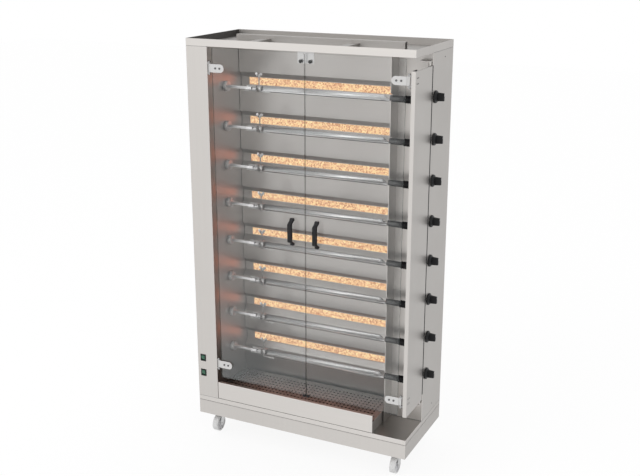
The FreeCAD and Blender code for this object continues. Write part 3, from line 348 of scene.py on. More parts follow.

# A spit shows several faces at once, so it wears several tones of one steel: lit and
# shaded copies, with a painted highlight on the shelf and painted shade on the rims.
spit_wall = brushed("spit_wall", 0.72, 0.24, "X", streak=0.14, edge_on_shade=0.1, warmth=0.0,
                    metallic=0.65)
spit_shelf_highlight = brushed("spit_shelf_highlight", 1.00, 0.22, "X", streak=0.03, edge_on_shade=0.0, warmth=0.0,
                     metallic=0.45)
spit_rim_shade = brushed("spit_rim_shade", 0.24, 0.30, "X", streak=0.2, edge_on_shade=0.2, warmth=0.0)
spit_socket = brushed("spit_socket", 0.75, 0.30, "X", streak=0.2, edge_on_shade=0.2, warmth=0.0,
                      metallic=0.7)
spit_sleeve = cast_or_turned("spit_sleeve", grey(0.125), 0.42, 120, 0.3)
fork_steel = cast_or_turned("fork_steel", grey(0.60, 0.02), 0.28, 200, 0.35, 0.8)
print("small metals ready")

# %% [markdown]
# The burners are porous ceramic tiles, drilled all over with fine holes that glow.
# From the door they blur into a grainy apricot band: Voronoi cells give each grain its
# own heat, and slow noise drifts from pale yellow to a cooler pink. The camera sees
# the glow almost bleached. In the steel round it the same glow mirrors as a deep red,
# so bounced rays are given that colour.

# %% Glowing ceramic
def glowing_ceramic():
    finish = Finish("glowing_ceramic", Roughness=0.85)
    grain = finish.node("ShaderNodeTexVoronoi", {"feature": "F1"},
                        {"Vector": finish.place(), "Scale": 170.0}, "Color")
    drift = finish.noise(14, (1, 1, 1), 3.0)
    heat = 1.10 * grain + 0.5 * drift - 0.295
    glow = finish.ramp(heat,
                       (0.10, (0.48, 0.20, 0.11, 1)),
                       (0.34, (0.71, 0.40, 0.22, 1)),
                       (0.60, (0.85, 0.57, 0.29, 1)),
                       (0.90, (1.0, 0.77, 0.42, 1)))
    bounced = (0.95, 0.35, 0.23, 1)
    glow = finish.blend(finish.seen_by("Camera"), bounced, glow)
    relief = finish.bump(grain, 0.4, 0.001)
    finish.shader.inputs["Emission Strength"].default_value = 1.0
    return finish.surface(Base_Color=(0.16, 0.08, 0.04, 1), Emission_Color=glow, Normal=relief)


ceramic = glowing_ceramic()
print("ceramic ready")

# %% [markdown]
# The door glass is clear. What shows of it is a thin grey veil: the studio mirrored
# weakly, more at grazing angles. The Fresnel curve drives the alpha of a mirror, so
# the pane is nearly invisible face on. Its cut edges swallow light and look like dark
# green threads, so they get a finish of their own.

# %% Door glass
def door_glass():
    finish = Finish("door_glass", Metallic=1.0)
    fresnel = finish.node("ShaderNodeFresnel", {}, {"IOR": 1.5}, "Fac")
    smears = finish.noise(7, (1, 1, 0.3), 3.0)
    return finish.surface(Base_Color=(0.80, 0.83, 0.83, 1), Alpha=0.75 * fresnel,
                          Roughness=0.03 + 0.05 * smears)


def glass_edge():
    finish = Finish("glass_edge", Roughness=0.3)
    chips = finish.noise(120, (1, 1, 0.2), 3.0)
    tint = finish.blend(chips, (0.03, 0.04, 0.036, 1), (0.10, 0.13, 0.12, 1))
    return finish.surface(Base_Color=tint, Alpha=0.55 + 0.3 * chips)


glass = door_glass()
edge_glass = glass_edge()
print("glass ready")

# %% [markdown]
# The plastics are black but not flat: moulded plastic has a fine grain that breaks
# the highlight, and handled parts are glossier on their crowns. The switch rockers
# are translucent green with a soft inner light.

# %% Plastics and rubber
def moulded(name, colour, roughness, grain, coat=0.0):
    """Moulded plastic or rubber with a fine skin texture."""
    finish = Finish(name, Coat_Weight=coat, Coat_Roughness=0.2, Specular_IOR_Level=0.22)
    skin = finish.noise(grain, (1, 1, 1), 3.0)
    wear = finish.noise(35, (1, 1, 1), 3.0)
    paler = tuple(min(1.0, c * 1.5 + 0.008) for c in colour[:3]) + (1,)
    tint = finish.blend(wear, colour, paler)
    relief = finish.bump(skin, 0.15, 0.0004)
    return finish.surface(Base_Color=tint, Roughness=roughness + 0.15 * (wear - 0.5),
                          Normal=relief)


pull_plastic = moulded("pull_plastic", (0.008, 0.008, 0.009, 1), 0.40, 900, 0.05)
knob_plastic = moulded("knob_plastic", (0.007, 0.007, 0.008, 1), 0.42, 1200, 0.04)
grip_plastic = moulded("grip_plastic", (0.012, 0.012, 0.013, 1), 0.50, 900)
bezel_plastic = moulded("bezel_plastic", (0.010, 0.012, 0.012, 1), 0.30, 1500)
tread_rubber = moulded("tread_rubber", (0.60, 0.60, 0.60, 1), 0.60, 500)
hub_plastic = moulded("hub_plastic", (0.50, 0.50, 0.51, 1), 0.45, 900)
# The grey of the joint beads is a painted shade: it draws the dark line along each joint.
seam_shade_paint = moulded("seam_shade_paint", (0.20, 0.195, 0.19, 1), 0.60, 900)
mark_paint = moulded("mark_paint", (0.75, 0.75, 0.73, 1), 0.50, 900)


def rocker_plastic():
    finish = Finish("rocker_green", Roughness=0.22, Coat_Weight=0.5)
    depth = finish.noise(220, (1, 1, 1), 2.0)
    tint = finish.blend(depth, (0.004, 0.055, 0.028, 1), (0.010, 0.13, 0.062, 1))
    finish.shader.inputs["Emission Strength"].default_value = 0.15
    return finish.surface(Base_Color=tint, Emission_Color=tint)


rocker_green = rocker_plastic()
print("plastics ready")

# %% [markdown]
# The perforated plate over the drip pan has been roasted: baked-on fat turns
# stainless a mottled red brown. It is worst at the front edge, where it never gets
# wiped, and fades to grey steel towards the burners. Its left end turns black: a
# painted shadow of the left wall.

# %% Roasted plate
def roasted_plate():
    finish = Finish("roasted_plate")
    clouds = finish.noise(9, (1, 1, 1), 5.0)
    spots = finish.noise(90, (1, 1, 1), 4.0)
    depth = finish.node("ShaderNodeSeparateXYZ", {}, {0: finish.place()}, "Y")
    across = finish.node("ShaderNodeSeparateXYZ", {}, {0: finish.place()}, "X")
    soot = 0.6 * clouds + 0.4 * spots
    brown = finish.ramp(soot,
                        (0.30, (0.22, 0.16, 0.14, 1)),
                        (0.50, (0.46, 0.34, 0.30, 1)),
                        (0.70, (0.64, 0.51, 0.46, 1)))
    wiped = finish.ramp(4.0 * (depth + 0.17) + 0.8 * (clouds - 0.5),
                        (0.15, grey(0.0)), (0.85, grey(1.0)))
    tint = finish.blend(wiped, brown, grey(0.30, 0.03))
    # Painted shadow: towards the left end the colour turns almost black, where the left wall
    # shades the plate.
    out_of_shadow = finish.ramp(7.0 * (across + 0.46), (0.1, grey(0.0)), (0.9, grey(1.0)))
    tint = finish.blend(out_of_shadow, grey(0.055, 0.1), tint)
    relief = finish.bump(spots, 0.2, 0.0006)
    return finish.surface(Base_Color=tint, Metallic=0.45 + 0.5 * wiped,
                          Roughness=0.34 + 0.3 * spots, Normal=relief)


plate_finish = roasted_plate()
# The dark pan finish is burnt steel and painted shade: it darkens the pan's inside and the faces
# seen through the gap under the drawer front.
burnt_and_shaded_pan = cast_or_turned("burnt_and_shaded_pan", (0.028, 0.021, 0.017, 1), 0.55, 40, 0.5, 0.3)
print("roasted plate ready")

# %% [markdown]
# The nodes whose shape is right and that wear one finish all over keep their own mesh.
# The table says which of them wears what. The others are replaced further on.

# %% Dress the nodes
DRESS = {
    "base_frame": housing_sheet, "left_housing": housing_sheet,
    "right_housing": housing_sheet, "back_panel": housing_sheet,
    "left_wall": chamber_shade_sheet, "right_wall": chamber_shade_sheet, "reflector": reflector_shade_sheet,
    "burner_bodies": burner_sheet, "spit_drive": drive_iron,
    "left_hinge_brackets": bracket_chrome, "post_hinge_brackets": bracket_chrome,
}
for corner in CORNERS:
    DRESS[f"caster_fork_{corner}"] = zinc

for node, finish in DRESS.items():
    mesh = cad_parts[node].data
    mesh.materials.clear()
    mesh.materials.append(finish)
print("dressed", len(DRESS), "nodes")

# %% [markdown]
# New pieces are modelled as by hand: a primitive, then selections and operators in
# edit mode. An operator acts on all that is selected, so these helpers deselect
# everything first, and pick faces or edges by a rule on their place and direction.

# %% Modelling helpers
def clear_selection():
    if bpy.context.object and bpy.context.object.mode == "EDIT":
        bpy.ops.object.mode_set(mode="OBJECT")
    bpy.ops.object.select_all(action="DESELECT")


def start(name, primitive, **settings):
    """Add a primitive and open it for editing, its place and size in its mesh."""
    clear_selection()
    primitive(**settings)
    bpy.ops.object.transform_apply(location=True, rotation=True, scale=True)
    piece = bpy.context.object
    piece.name = name
    piece.data.name = name
    bpy.ops.object.mode_set(mode="EDIT")
    return piece


def pick(piece, rule, kind="FACE"):
    """Select only the faces or edges that a rule accepts."""
    bpy.ops.mesh.select_mode(type=kind)
    bpy.ops.mesh.select_all(action="DESELECT")
    mesh = bmesh.from_edit_mesh(piece.data)
    mesh.normal_update()
    for item in (mesh.faces if kind == "FACE" else mesh.edges):
        if rule(item):
            item.select_set(True)
    mesh.select_flush_mode()
    bmesh.update_edit_mesh(piece.data)


def middle(edge):
    return (edge.verts[0].co + edge.verts[1].co) / 2


def facing(direction):
    """A rule for faces that look one way."""
    aim = Vector(direction)
    return lambda face: face.normal.dot(aim) > 0.99


def raise_by(distance, narrow=1.0):
    """Extrude the selected faces along their normal, then scale them."""
    bpy.ops.mesh.extrude_region_shrink_fatten(
        TRANSFORM_OT_shrink_fatten={"value": distance})
    if narrow != 1.0:
        bpy.ops.transform.resize(value=(narrow, narrow, narrow))


def inset_by(thickness):
    bpy.ops.mesh.inset(thickness=thickness)


def close_edit(piece):
    """Leave edit mode with the normals outwards and the place in the mesh."""
    bpy.ops.mesh.select_all(action="SELECT")
    bpy.ops.mesh.remove_doubles(threshold=1e-6)
    bpy.ops.mesh.normals_make_consistent(inside=False)
    bpy.ops.object.mode_set(mode="OBJECT")
    clear_selection()
    piece.select_set(True)
    bpy.context.view_layer.objects.active = piece
    bpy.ops.object.transform_apply(location=True, rotation=True, scale=True)


def bevelled(piece, width, segments=2, angle=30):
    """Round the sharp edges with a modifier and apply it."""
    bpy.context.view_layer.objects.active = piece
    modifier = piece.modifiers.new("soft_edges", "BEVEL")
    modifier.width = width
    modifier.segments = segments
    modifier.limit_method = "ANGLE"
    modifier.angle_limit = math.radians(angle)
    bpy.ops.object.modifier_apply(modifier=modifier.name)


def smooth(piece, angle=35):
    clear_selection()
    piece.select_set(True)
    bpy.context.view_layer.objects.active = piece
    bpy.ops.object.shade_smooth_by_angle(angle=math.radians(angle))


print("modelling helpers ready")

# %% [markdown]
# A finished piece has its object at the origin and its place in its mesh, as the
# frame's nodes have. These helpers move, copy and join pieces, read a node's box, paint
# a copy of a node face by face, and hand a piece to the frame with its body.

# %% Placing and handing over
def turn_and_move(piece, place, turn=(0, 0, 0)):
    """Turn a piece, move it, and keep its place in the mesh."""
    clear_selection()
    piece.select_set(True)
    bpy.context.view_layer.objects.active = piece
    piece.rotation_euler = turn
    piece.location = place
    bpy.ops.object.transform_apply(location=True, rotation=True, scale=True)


def copy_of(piece, name):
    twin = piece.copy()
    twin.data = piece.data.copy()
    twin.name = name
    twin.data.name = name
    bpy.context.collection.objects.link(twin)
    return twin


def joined(pieces, name):
    clear_selection()
    for piece in pieces:
        piece.select_set(True)
    bpy.context.view_layer.objects.active = pieces[0]
    bpy.ops.object.join()
    whole = bpy.context.object
    whole.name = name
    whole.data.name = name
    return whole


def wear(piece, *finishes):
    piece.data.materials.clear()
    for finish in finishes:
        piece.data.materials.append(finish)


def corners(node):
    """The lowest and the highest corner of a node's box."""
    low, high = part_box(node)
    return Vector(low), Vector(high)


def centre(node):
    low, high = corners(node)
    return (low + high) / 2


def left_end(node):
    """The middle of a box's left side."""
    low, high = corners(node)
    return Vector((low.x, (low.y + high.y) / 2, (low.z + high.z) / 2))


def painted_copy(node, name, finishes, choose, cut_x=None):
    """A merged copy of a node, whose faces each take the finish that a rule picks.

    A cut across X splits the faces that run from one finish into the next.
    """
    piece = copy_of(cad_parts[node], name)
    clear_selection()
    piece.select_set(True)
    bpy.context.view_layer.objects.active = piece
    bpy.ops.object.mode_set(mode="EDIT")
    if cut_x is not None:
        bpy.ops.mesh.select_all(action="SELECT")
        bpy.ops.mesh.remove_doubles(threshold=1e-6)
        bpy.ops.mesh.bisect(plane_co=(cut_x, 0, 0), plane_no=(1, 0, 0))
    close_edit(piece)
    wear(piece, *finishes)
    for face in piece.data.polygons:
        face.material_index = choose(face)
    return piece


def give(piece, body, slot, *replaced):
    """Hand a finished piece to the frame."""
    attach(piece, body)
    if replaced:
        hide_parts(*replaced)


def soft_block(name, place, size, edge=0, segments=1):
    """A block round a place, its edges rounded."""
    block = start(name, bpy.ops.mesh.primitive_cube_add, size=1, location=place, scale=size)
    close_edit(block)
    if edge:
        bevelled(block, edge, segments)
    return block


QUARTER = math.pi / 2
print("placing helpers ready")

# %% [markdown]
# A gas knob is moulded in one piece: a round skirt with a step, a waist, and a bar to
# grip across it. The skirt is a cylinder whose face is inset and raised twice. The
# bar is a block whose ends are drawn in, with every edge rounded, and a thin white
# line on the bar shows where the valve points.

# %% Gas knobs
SKIRT_HEIGHT = 5 * MM
BAR_FOOT = 4 * MM
BAR_WIDTH = 17 * MM
BAR_LENGTH = 38 * MM
LINE_SIZE = (1.6 * MM, 12 * MM, 0.2 * MM)
LINE_OFFSET = 9.5 * MM


def knob_skirt(radius):
    skirt = start("knob_skirt", bpy.ops.mesh.primitive_cylinder_add, vertices=48,
                  radius=radius, depth=SKIRT_HEIGHT, location=(0, 0, SKIRT_HEIGHT / 2))
    pick(skirt, facing((0, 0, 1)))
    inset_by(1.5 * MM)
    raise_by(2.5 * MM, 0.96)
    inset_by(3.5 * MM)
    raise_by(4.5 * MM, 0.90)
    close_edit(skirt)
    bevelled(skirt, 0.8 * MM, 3)
    return skirt


def knob_bar(reach):
    tall = reach - BAR_FOOT
    bar = start("knob_bar", bpy.ops.mesh.primitive_cube_add, size=1,
                location=(0, 0, BAR_FOOT + tall / 2), scale=(BAR_WIDTH, BAR_LENGTH, tall))
    pick(bar, facing((0, 0, 1)))
    bpy.ops.transform.resize(value=(0.72, 0.90, 1))
    close_edit(bar)
    bevelled(bar, 2.6 * MM, 4, 20)
    return bar


low, high = corners("gas_knob_1")
knob_radius = (high.z - low.z) / 2
knob_reach = high.x - low.x
skirt = knob_skirt(knob_radius)
bar = knob_bar(knob_reach - LINE_SIZE[2])
line = soft_block("pointer_line", (0, LINE_OFFSET, knob_reach - LINE_SIZE[2] / 2), LINE_SIZE)
wear(skirt, knob_plastic)
wear(bar, knob_plastic)
wear(line, mark_paint)
knob = joined([skirt, bar, line], "knob_pattern")
smooth(knob)
for tier in TIERS:
    node = f"gas_knob_{tier}"
    twin = copy_of(knob, f"valve_knob_{tier}")
    turn_and_move(twin, left_end(node), (QUARTER, 0, QUARTER))
    give(twin, f"knob_{tier}", "knob_plastic", node)
bpy.data.objects.remove(knob)
print("knob radius", knob_radius, "reach", knob_reach)

# %% [markdown]
# The spit grips are ribbed so that a gloved hand can turn and lift them. A cylinder
# is drawn out of its own end face rib by rib: out, in, out, in, as on a lathe. At the
# end it is stretched a little along its axis, to the length of the node.

# %% Spit grips
WAIST = 0.88
RIBS = 6


def ribbed_grip(radius, length, ribs):
    step = length / ribs
    grip = start("ribbed_grip", bpy.ops.mesh.primitive_cylinder_add, vertices=32,
                 radius=radius * WAIST, depth=0.2 * step, location=(0, 0, 0.1 * step))
    pick(grip, facing((0, 0, 1)))
    for rib in range(ribs):
        raise_by(0.06 * step, 1 / WAIST)
        raise_by(0.58 * step)
        raise_by(0.06 * step, WAIST)
        if rib < ribs - 1:
            raise_by(0.30 * step)
    raise_by(0.10 * step, 0.7)
    close_edit(grip)
    bevelled(grip, 0.7 * MM, 2)
    return grip


low, high = corners("spit_grip_1")
grip_length = high.x - low.x
grip_radius = (high.z - low.z) / 2
grip = ribbed_grip(grip_radius, grip_length, RIBS)
wear(grip, grip_plastic)
smooth(grip)
reached = max(vertex.co.z for vertex in grip.data.vertices)
for vertex in grip.data.vertices:
    vertex.co.z *= grip_length / reached
for tier in TIERS:
    node = f"spit_grip_{tier}"
    twin = copy_of(grip, f"ribbed_grip_{tier}")
    turn_and_move(twin, left_end(node), (0, QUARTER, 0))
    give(twin, f"turning_spit_{tier}", "grip_plastic", node)
bpy.data.objects.remove(grip)
print("grip", grip_radius, grip_length)

# %% [markdown]
# A door pull is a thick bow of black plastic with slanting legs. It starts as an
# upright bar on the glass. Four cuts across it mark the legs and the grip, the part
# between the middle cuts is pulled towards the hand, and the feet are thinned.

# %% Door pulls
def bow(height, reach, width):
    """A bow on the glass at y = 0 that reaches out towards -Y, its foot at z = 0."""
    thick = 18 * MM
    foot = 11 * MM
    leg = 23 * MM
    pared = 5 * MM
    piece = start("bow", bpy.ops.mesh.primitive_cube_add, size=1,
                  location=(0, -thick / 2, height / 2), scale=(width, thick, height))
    for level in (foot, leg, height - leg, height - foot):
        bpy.ops.mesh.select_all(action="SELECT")
        bpy.ops.mesh.bisect(plane_co=(0, 0, level), plane_no=(0, 0, 1))
    pick(piece, lambda edge: leg - MM < middle(edge).z < height - leg + MM, "EDGE")
    bpy.ops.transform.translate(value=(0, thick - reach, 0))
    pick(piece, lambda edge: middle(edge).y < -0.9 * thick
         and (middle(edge).z < foot / 2 or middle(edge).z > height - foot / 2), "EDGE")
    bpy.ops.transform.translate(value=(0, pared, 0))
    close_edit(piece)
    bevelled(piece, 2.8 * MM, 3, 20)
    return piece


for side in ("left", "right"):
    node = f"{side}_door_pull"
    low, high = corners(node)
    size = high - low
    pull = bow(size.z, size.y, size.x)
    turn_and_move(pull, ((low.x + high.x) / 2, high.y, low.z))
    wear(pull, pull_plastic)
    smooth(pull, 50)
    pull.name = f"{side}_pull_bow"
    give(pull, f"{side}_door", "black_plastic", node)
    print(node, [round(c, 4) for c in size])

# %% [markdown]
# Some nodes have the right shape, but one finish won't do for them. Each gets a merged
# copy whose faces are sorted by place and direction. A pane's thin edges are dark and
# its faces clear. Of its fittings, the keeper and the pads behind the glass are dark,
# and the hinge leaves are polished.

# %% Panes and fittings
KEEPER_Z = 1924 * MM
KEEPER_HALF = 9 * MM
SKIN = 0.5 * MM

for side in ("left", "right"):
    node = f"{side}_door_glass"
    pane = painted_copy(node, f"{side}_pane", (glass, edge_glass),
                        lambda face: int(abs(face.normal.y) < 0.9))
    give(pane, f"{side}_door", "door_glass", node)

    node = f"{side}_door_fittings"
    inner_face = corners(f"{side}_door_glass")[1].y - SKIN
    fittings = painted_copy(node, f"{side}_leaves_and_keeper", (fitting_steel, catch_magnet),
                            lambda face: int(abs(face.center.z - KEEPER_Z) < KEEPER_HALF
                                             or face.center.y > inner_face))
    give(fittings, f"{side}_door", "fitting_steel", node)
print("panes and fittings painted")

# %% [markdown]
# Some more sheet metal is painted in the same way. The top tray is darker inside, and
# its left wall is painted shade. The drip drawer has an unstained front and a dark pan,
# burnt and painted shade, with a painted shadow on the faces seen through the gap under
# its front. The post is painted shade inside its channel and on its upper end. The floor
# tray's hem is painted shadow, and its flat top is darker. The catch under the top, a
# polished plate with two dark magnets, closes the row.

# %% Trays, drawer, post and catch
RIM_GAUGE = 1.5 * MM
SHADE_REACH = 4 * MM
tray_low, tray_high = corners("top_tray")


def tray_zone(face):
    """0 on the rim's outside and the duct's crown, 1 inside, which is darker, 2 on the left wall,
    painted shade.
    """
    spot = face.center
    outside = max(tray_low.x - spot.x, spot.x - tray_high.x,
                  tray_low.y - spot.y, spot.y - tray_high.y) > -RIM_GAUGE
    if outside or spot.z > tray_high.z - SKIN:
        return 0
    return 2 if face.normal.x > 0.9 and spot.x < tray_low.x + SHADE_REACH else 1


tray = painted_copy("top_tray", "rim_and_tray", (level_sheet, tray_sheet, painted_shade_sheet),
                    tray_zone)
give(tray, "cabinet", "housing_steel", "top_tray")

FRONT_DEPTH = 19 * MM
drawer_low, drawer_high = corners("drip_drawer")


def drawer_zone(face):
    """0 on the front and the pan's outside, 1 on the pan, burnt and painted shade, and on what
    faces the gap, a painted shadow.
    """
    spot = face.center
    # Faces seen through the gap under the front take the dark pan finish: a painted shadow.
    if face.normal.y < -0.9 and spot.y > drawer_low.y + SKIN:
        return 1
    behind = spot.y > drawer_low.y + FRONT_DEPTH
    inside = (drawer_low.x + SKIN < spot.x < drawer_high.x - SKIN
              and spot.y < drawer_high.y - SKIN and spot.z > drawer_low.z + SKIN)
    return int(behind and inside)


drawer = painted_copy("drip_drawer", "drawer_and_pan", (level_sheet, burnt_and_shaded_pan), drawer_zone)
give(drawer, "drawer", "drawer_steel", "drip_drawer")

BEND_DEPTH = 0.6 * MM
post_low, post_high = corners("door_post")


def post_zone(face):
    """0 on the post's outside, 1 inside the channel and on its upper end, both painted shade."""
    spot = face.center
    inside = all(post_low[axis] + BEND_DEPTH < spot[axis] < post_high[axis] - BEND_DEPTH
                 for axis in range(3))
    return int(inside or spot.z > post_high.z - BEND_DEPTH)


post = painted_copy("door_post", "folded_post", (post_sheet, painted_shade_sheet), post_zone)
give(post, "post", "housing_steel", "door_post")

HEM_HEIGHT = 2 * MM
floor_low, floor_high = corners("base_floor")


def floor_zone(face):
    """0 on the tray's rims, 1 on the hem, painted shadow, 2 on its flat top, which is darker."""
    if abs(face.normal.z) < 0.1 and face.center.z < floor_low.z + HEM_HEIGHT:
        return 1
    return 2 if face.normal.z > 0.9 and face.center.z > floor_high.z - SKIN else 0


floor_tray = painted_copy("base_floor", "floor_tray", (level_sheet, painted_shade_sheet, darker_floor_sheet),
                          floor_zone)
give(floor_tray, "cabinet", "housing_steel", "base_floor")

MAGNET_REACH = 5.8 * MM
catch_front = corners("door_catch")[0].y
catch = painted_copy("door_catch", "catch_and_magnets", (fitting_steel, catch_magnet),
                     lambda face: int(face.center.y < catch_front + MAGNET_REACH))
smooth(catch)
give(catch, "cabinet", "fitting_steel", "door_catch")
print("trays, drawer, post and catch painted")

# %% [markdown]
# A spit is a folded blade, and its faces mirror very different things, so they are
# painted in tones of one steel. The shelf and the lit faces of the shank get a painted
# highlight, the upright wall a mid tone, and the rims painted shade. The drive socket at
# the left, the fork with its wing screw, and the sleeve that turns in the right wall's
# notch get a tone each too. The copy is cut across where the socket ends, so that no
# face runs over that border.

# %% Spits
WALL, SHELF_HIGHLIGHT, RIM_SHADE, SOCKET, SLEEVE, FORK = range(6)
BLADE_START = -0.356
FORK_START, FORK_END = -0.296, -0.203
SLEEVE_START = 0.370
BLADE_REACH = 12.5 * MM
WALL_REAR = -11 * MM


def spit_zone(axis):
    """Which of the spit's finishes a face takes, from its place about the axis: the shelf's is a
    painted highlight, the rims' a painted shade.
    """
    def zone(face):
        spot = face.center - axis
        if spot.x > SLEEVE_START:
            return SLEEVE
        if spot.x < BLADE_START:
            return SOCKET
        off_blade = max(abs(spot.y), abs(spot.z)) > BLADE_REACH
        if FORK_START < spot.x < FORK_END and off_blade:
            return FORK
        # Painted highlight on the lit faces of the shank and on the shelf, painted shade on the
        # rims.
        lit = face.normal.z > 0.5 or face.normal.y < -0.5
        if lit and spot.x < FORK_START:
            return SHELF_HIGHLIGHT
        if face.normal.z > 0.9 and spot.z < 0:
            return SHELF_HIGHLIGHT
        if face.normal.y < -0.9 and spot.y > WALL_REAR:
            return WALL
        return RIM_SHADE
    return zone


for tier in TIERS:
    node = f"spit_{tier}"
    axis = Vector((0, centre(node).y, centre(f"spit_grip_{tier}").z))
    bar = painted_copy(node, f"spit_bar_{tier}",
                       (spit_wall, spit_shelf_highlight, spit_rim_shade, spit_socket, spit_sleeve, fork_steel),
                       spit_zone(axis), BLADE_START)
    smooth(bar, 32)
    give(bar, f"turning_spit_{tier}", "spit_steel", node)
print(len(TIERS), "spits painted")

# %% [markdown]
# The plate over the pan is pierced by several hundred small holes in straight rows. One
# tile is modelled: a rectangle, inset, with the inner corners rounded and the inner
# face taken out. Two array modifiers lay the tiles side by side and row behind row, a
# plain ring closes the edge, and a Solidify modifier gives the sheet its thickness.

# %% Perforated plate
COLUMNS = 40
ROWS = 8
HOLE_WIDTH = 9.5 * MM
HOLE_LENGTH = 13 * MM
BORDER = 25 * MM
GAUGE = 1.5 * MM


def hole_tile(low, width, length):
    """A rectangle of sheet round one hole, its front left corner at a place."""
    spot = (low.x + width / 2, low.y + length / 2, 0)
    tile = start("hole_tile", bpy.ops.mesh.primitive_plane_add, size=1, location=spot)
    bpy.ops.transform.resize(value=(width, length, 1))
    margin = (width - HOLE_WIDTH) / 2
    inset_by(margin)
    bpy.ops.transform.resize(value=(1, HOLE_LENGTH / (length - 2 * margin), 1))
    bpy.ops.mesh.bevel(offset=0.3 * HOLE_WIDTH, segments=2, affect="VERTICES")
    pick(tile, lambda face: (face.calc_center_median() - Vector(spot)).length < MM)
    bpy.ops.mesh.delete(type="FACE")
    close_edit(tile)
    return tile


def laid(piece, across, along):
    """Copies of a tile in columns and rows, by two array modifiers."""
    for count, offset in ((COLUMNS, (across, 0, 0)), (ROWS, (0, along, 0))):
        modifier = piece.modifiers.new("copies", "ARRAY")
        modifier.count = count
        modifier.use_relative_offset = False
        modifier.use_constant_offset = True
        modifier.constant_offset_displace = offset
        modifier.use_merge_vertices = True
        modifier.merge_threshold = 0.00001
        bpy.context.view_layer.objects.active = piece
        bpy.ops.object.modifier_apply(modifier=modifier.name)


def border_sheet(low, high, width):
    """A flat rectangular ring."""
    spot = (low + high) / 2
    ring = start("border_sheet", bpy.ops.mesh.primitive_plane_add, size=1, location=spot)
    bpy.ops.transform.resize(value=(high.x - low.x, high.y - low.y, 1))
    inset_by(width)
    bpy.ops.mesh.delete(type="FACE")
    close_edit(ring)
    return ring


low, high = corners("grease_plate")
top_z = high.z
low = Vector((low.x, low.y, 0))
high = Vector((high.x, high.y, 0))
inner_low = low + Vector((BORDER, BORDER, 0))
field = high - low - 2 * Vector((BORDER, BORDER, 0))
tile = hole_tile(inner_low, field.x / COLUMNS, field.y / ROWS)
laid(tile, field.x / COLUMNS, field.y / ROWS)
plate = joined([tile, border_sheet(low, high, BORDER)], "pierced_plate")
turn_and_move(plate, (0, 0, top_z))
modifier = plate.modifiers.new("gauge", "SOLIDIFY")
modifier.thickness = GAUGE
modifier.offset = -1
bpy.ops.object.modifier_apply(modifier=modifier.name)
wear(plate, plate_finish)
give(plate, "drawer", "plate_enamel", "grease_plate")
print("plate of", COLUMNS, "by", ROWS, "holes,", len(plate.data.polygons), "faces")

# %% [markdown]
# Each switch is a black frame snapped into the sheet with a green rocker in it. The
# frame is a block whose front is inset and pushed in to make the well; the rocker is
# a block with a ridge across its middle and a narrower back, so that it clears the well
# as it tips. It is modelled upright about its pivot, then tilted into its off position.

# %% Switches
BEZEL_HEIGHT = 36 * MM
BEZEL_DEPTH = 20 * MM
BEZEL_RIM = 4.4 * MM
WELL_DEPTH = 14 * MM


def switch_frame(low, high):
    bezel = start("switch_frame", bpy.ops.mesh.primitive_cube_add, size=1,
                  location=(low + high) / 2, scale=high - low)
    pick(bezel, facing((0, -1, 0)))
    inset_by(0.9 * MM)
    raise_by(0.01 * MM)
    inset_by(BEZEL_RIM)
    raise_by(-WELL_DEPTH)
    close_edit(bezel)
    bevelled(bezel, 0.5 * MM, 2)
    return bezel


ROCKER_TILT = math.radians(9)
ROCKER_RIDGE = -4.2 * MM
ROCKER_FRONT = -1.5 * MM
ROCKER_BACK = 7 * MM
ROCKER_HALF = 11.8 * MM
BACK_SHARE = 0.76


def rocker_shape(width):
    """A rocker, upright, with its pivot at the origin and its ridge towards -Y."""
    shape = start("rocker_shape", bpy.ops.mesh.primitive_cube_add, size=1,
                  location=(0, (ROCKER_FRONT + ROCKER_BACK) / 2, 0),
                  scale=(width, ROCKER_BACK - ROCKER_FRONT, 2 * ROCKER_HALF))
    pick(shape, facing((0, 1, 0)))
    bpy.ops.transform.resize(value=(1, 1, BACK_SHARE))
    bpy.ops.mesh.select_all(action="SELECT")
    bpy.ops.mesh.bisect(plane_co=(0, 0, 0), plane_no=(0, 0, 1))
    pick(shape, lambda edge: abs(middle(edge).z) < 1e-5
         and abs(middle(edge).y - ROCKER_FRONT) < 1e-5, "EDGE")
    bpy.ops.transform.translate(value=(0, ROCKER_RIDGE - ROCKER_FRONT, 0))
    close_edit(shape)
    bevelled(shape, 0.7 * MM, 3, 20)
    return shape


low, high = corners("switch_bezels")
frames = []
for foot in (high.z - BEZEL_HEIGHT, low.z):
    bezel_low = Vector((low.x, low.y, foot))
    bezel_high = Vector((high.x, low.y + BEZEL_DEPTH, foot + BEZEL_HEIGHT))
    frames.append(switch_frame(bezel_low, bezel_high))
bezels = joined(frames, "switch_frames")
wear(bezels, bezel_plastic)
smooth(bezels)
give(bezels, "cabinet", "black_plastic", "switch_bezels")
for number in (1, 2):
    node = f"switch_rocker_{number}"
    low, high = corners(node)
    rocker = rocker_shape(high.x - low.x)
    rise = ROCKER_HALF * math.cos(ROCKER_TILT) + ROCKER_FRONT * math.sin(ROCKER_TILT)
    pivot = ((low.x + high.x) / 2, low.y - ROCKER_RIDGE * math.cos(ROCKER_TILT),
             high.z - rise)
    turn_and_move(rocker, pivot, (ROCKER_TILT, 0, 0))
    rocker.name = f"green_rocker_{number}"
    wear(rocker, rocker_green)
    smooth(rocker)
    give(rocker, f"rocker_{number}", "rocker_plastic", node)
print("switches modelled")

# %% [markdown]
# A caster wheel has a grey rubber tread with rounded shoulders on a dished plastic
# hub. The disc's side is inset and pushed in for the dish, then raised again round
# the axle, on both sides.

# %% Caster wheels
TREAD = 8 * MM


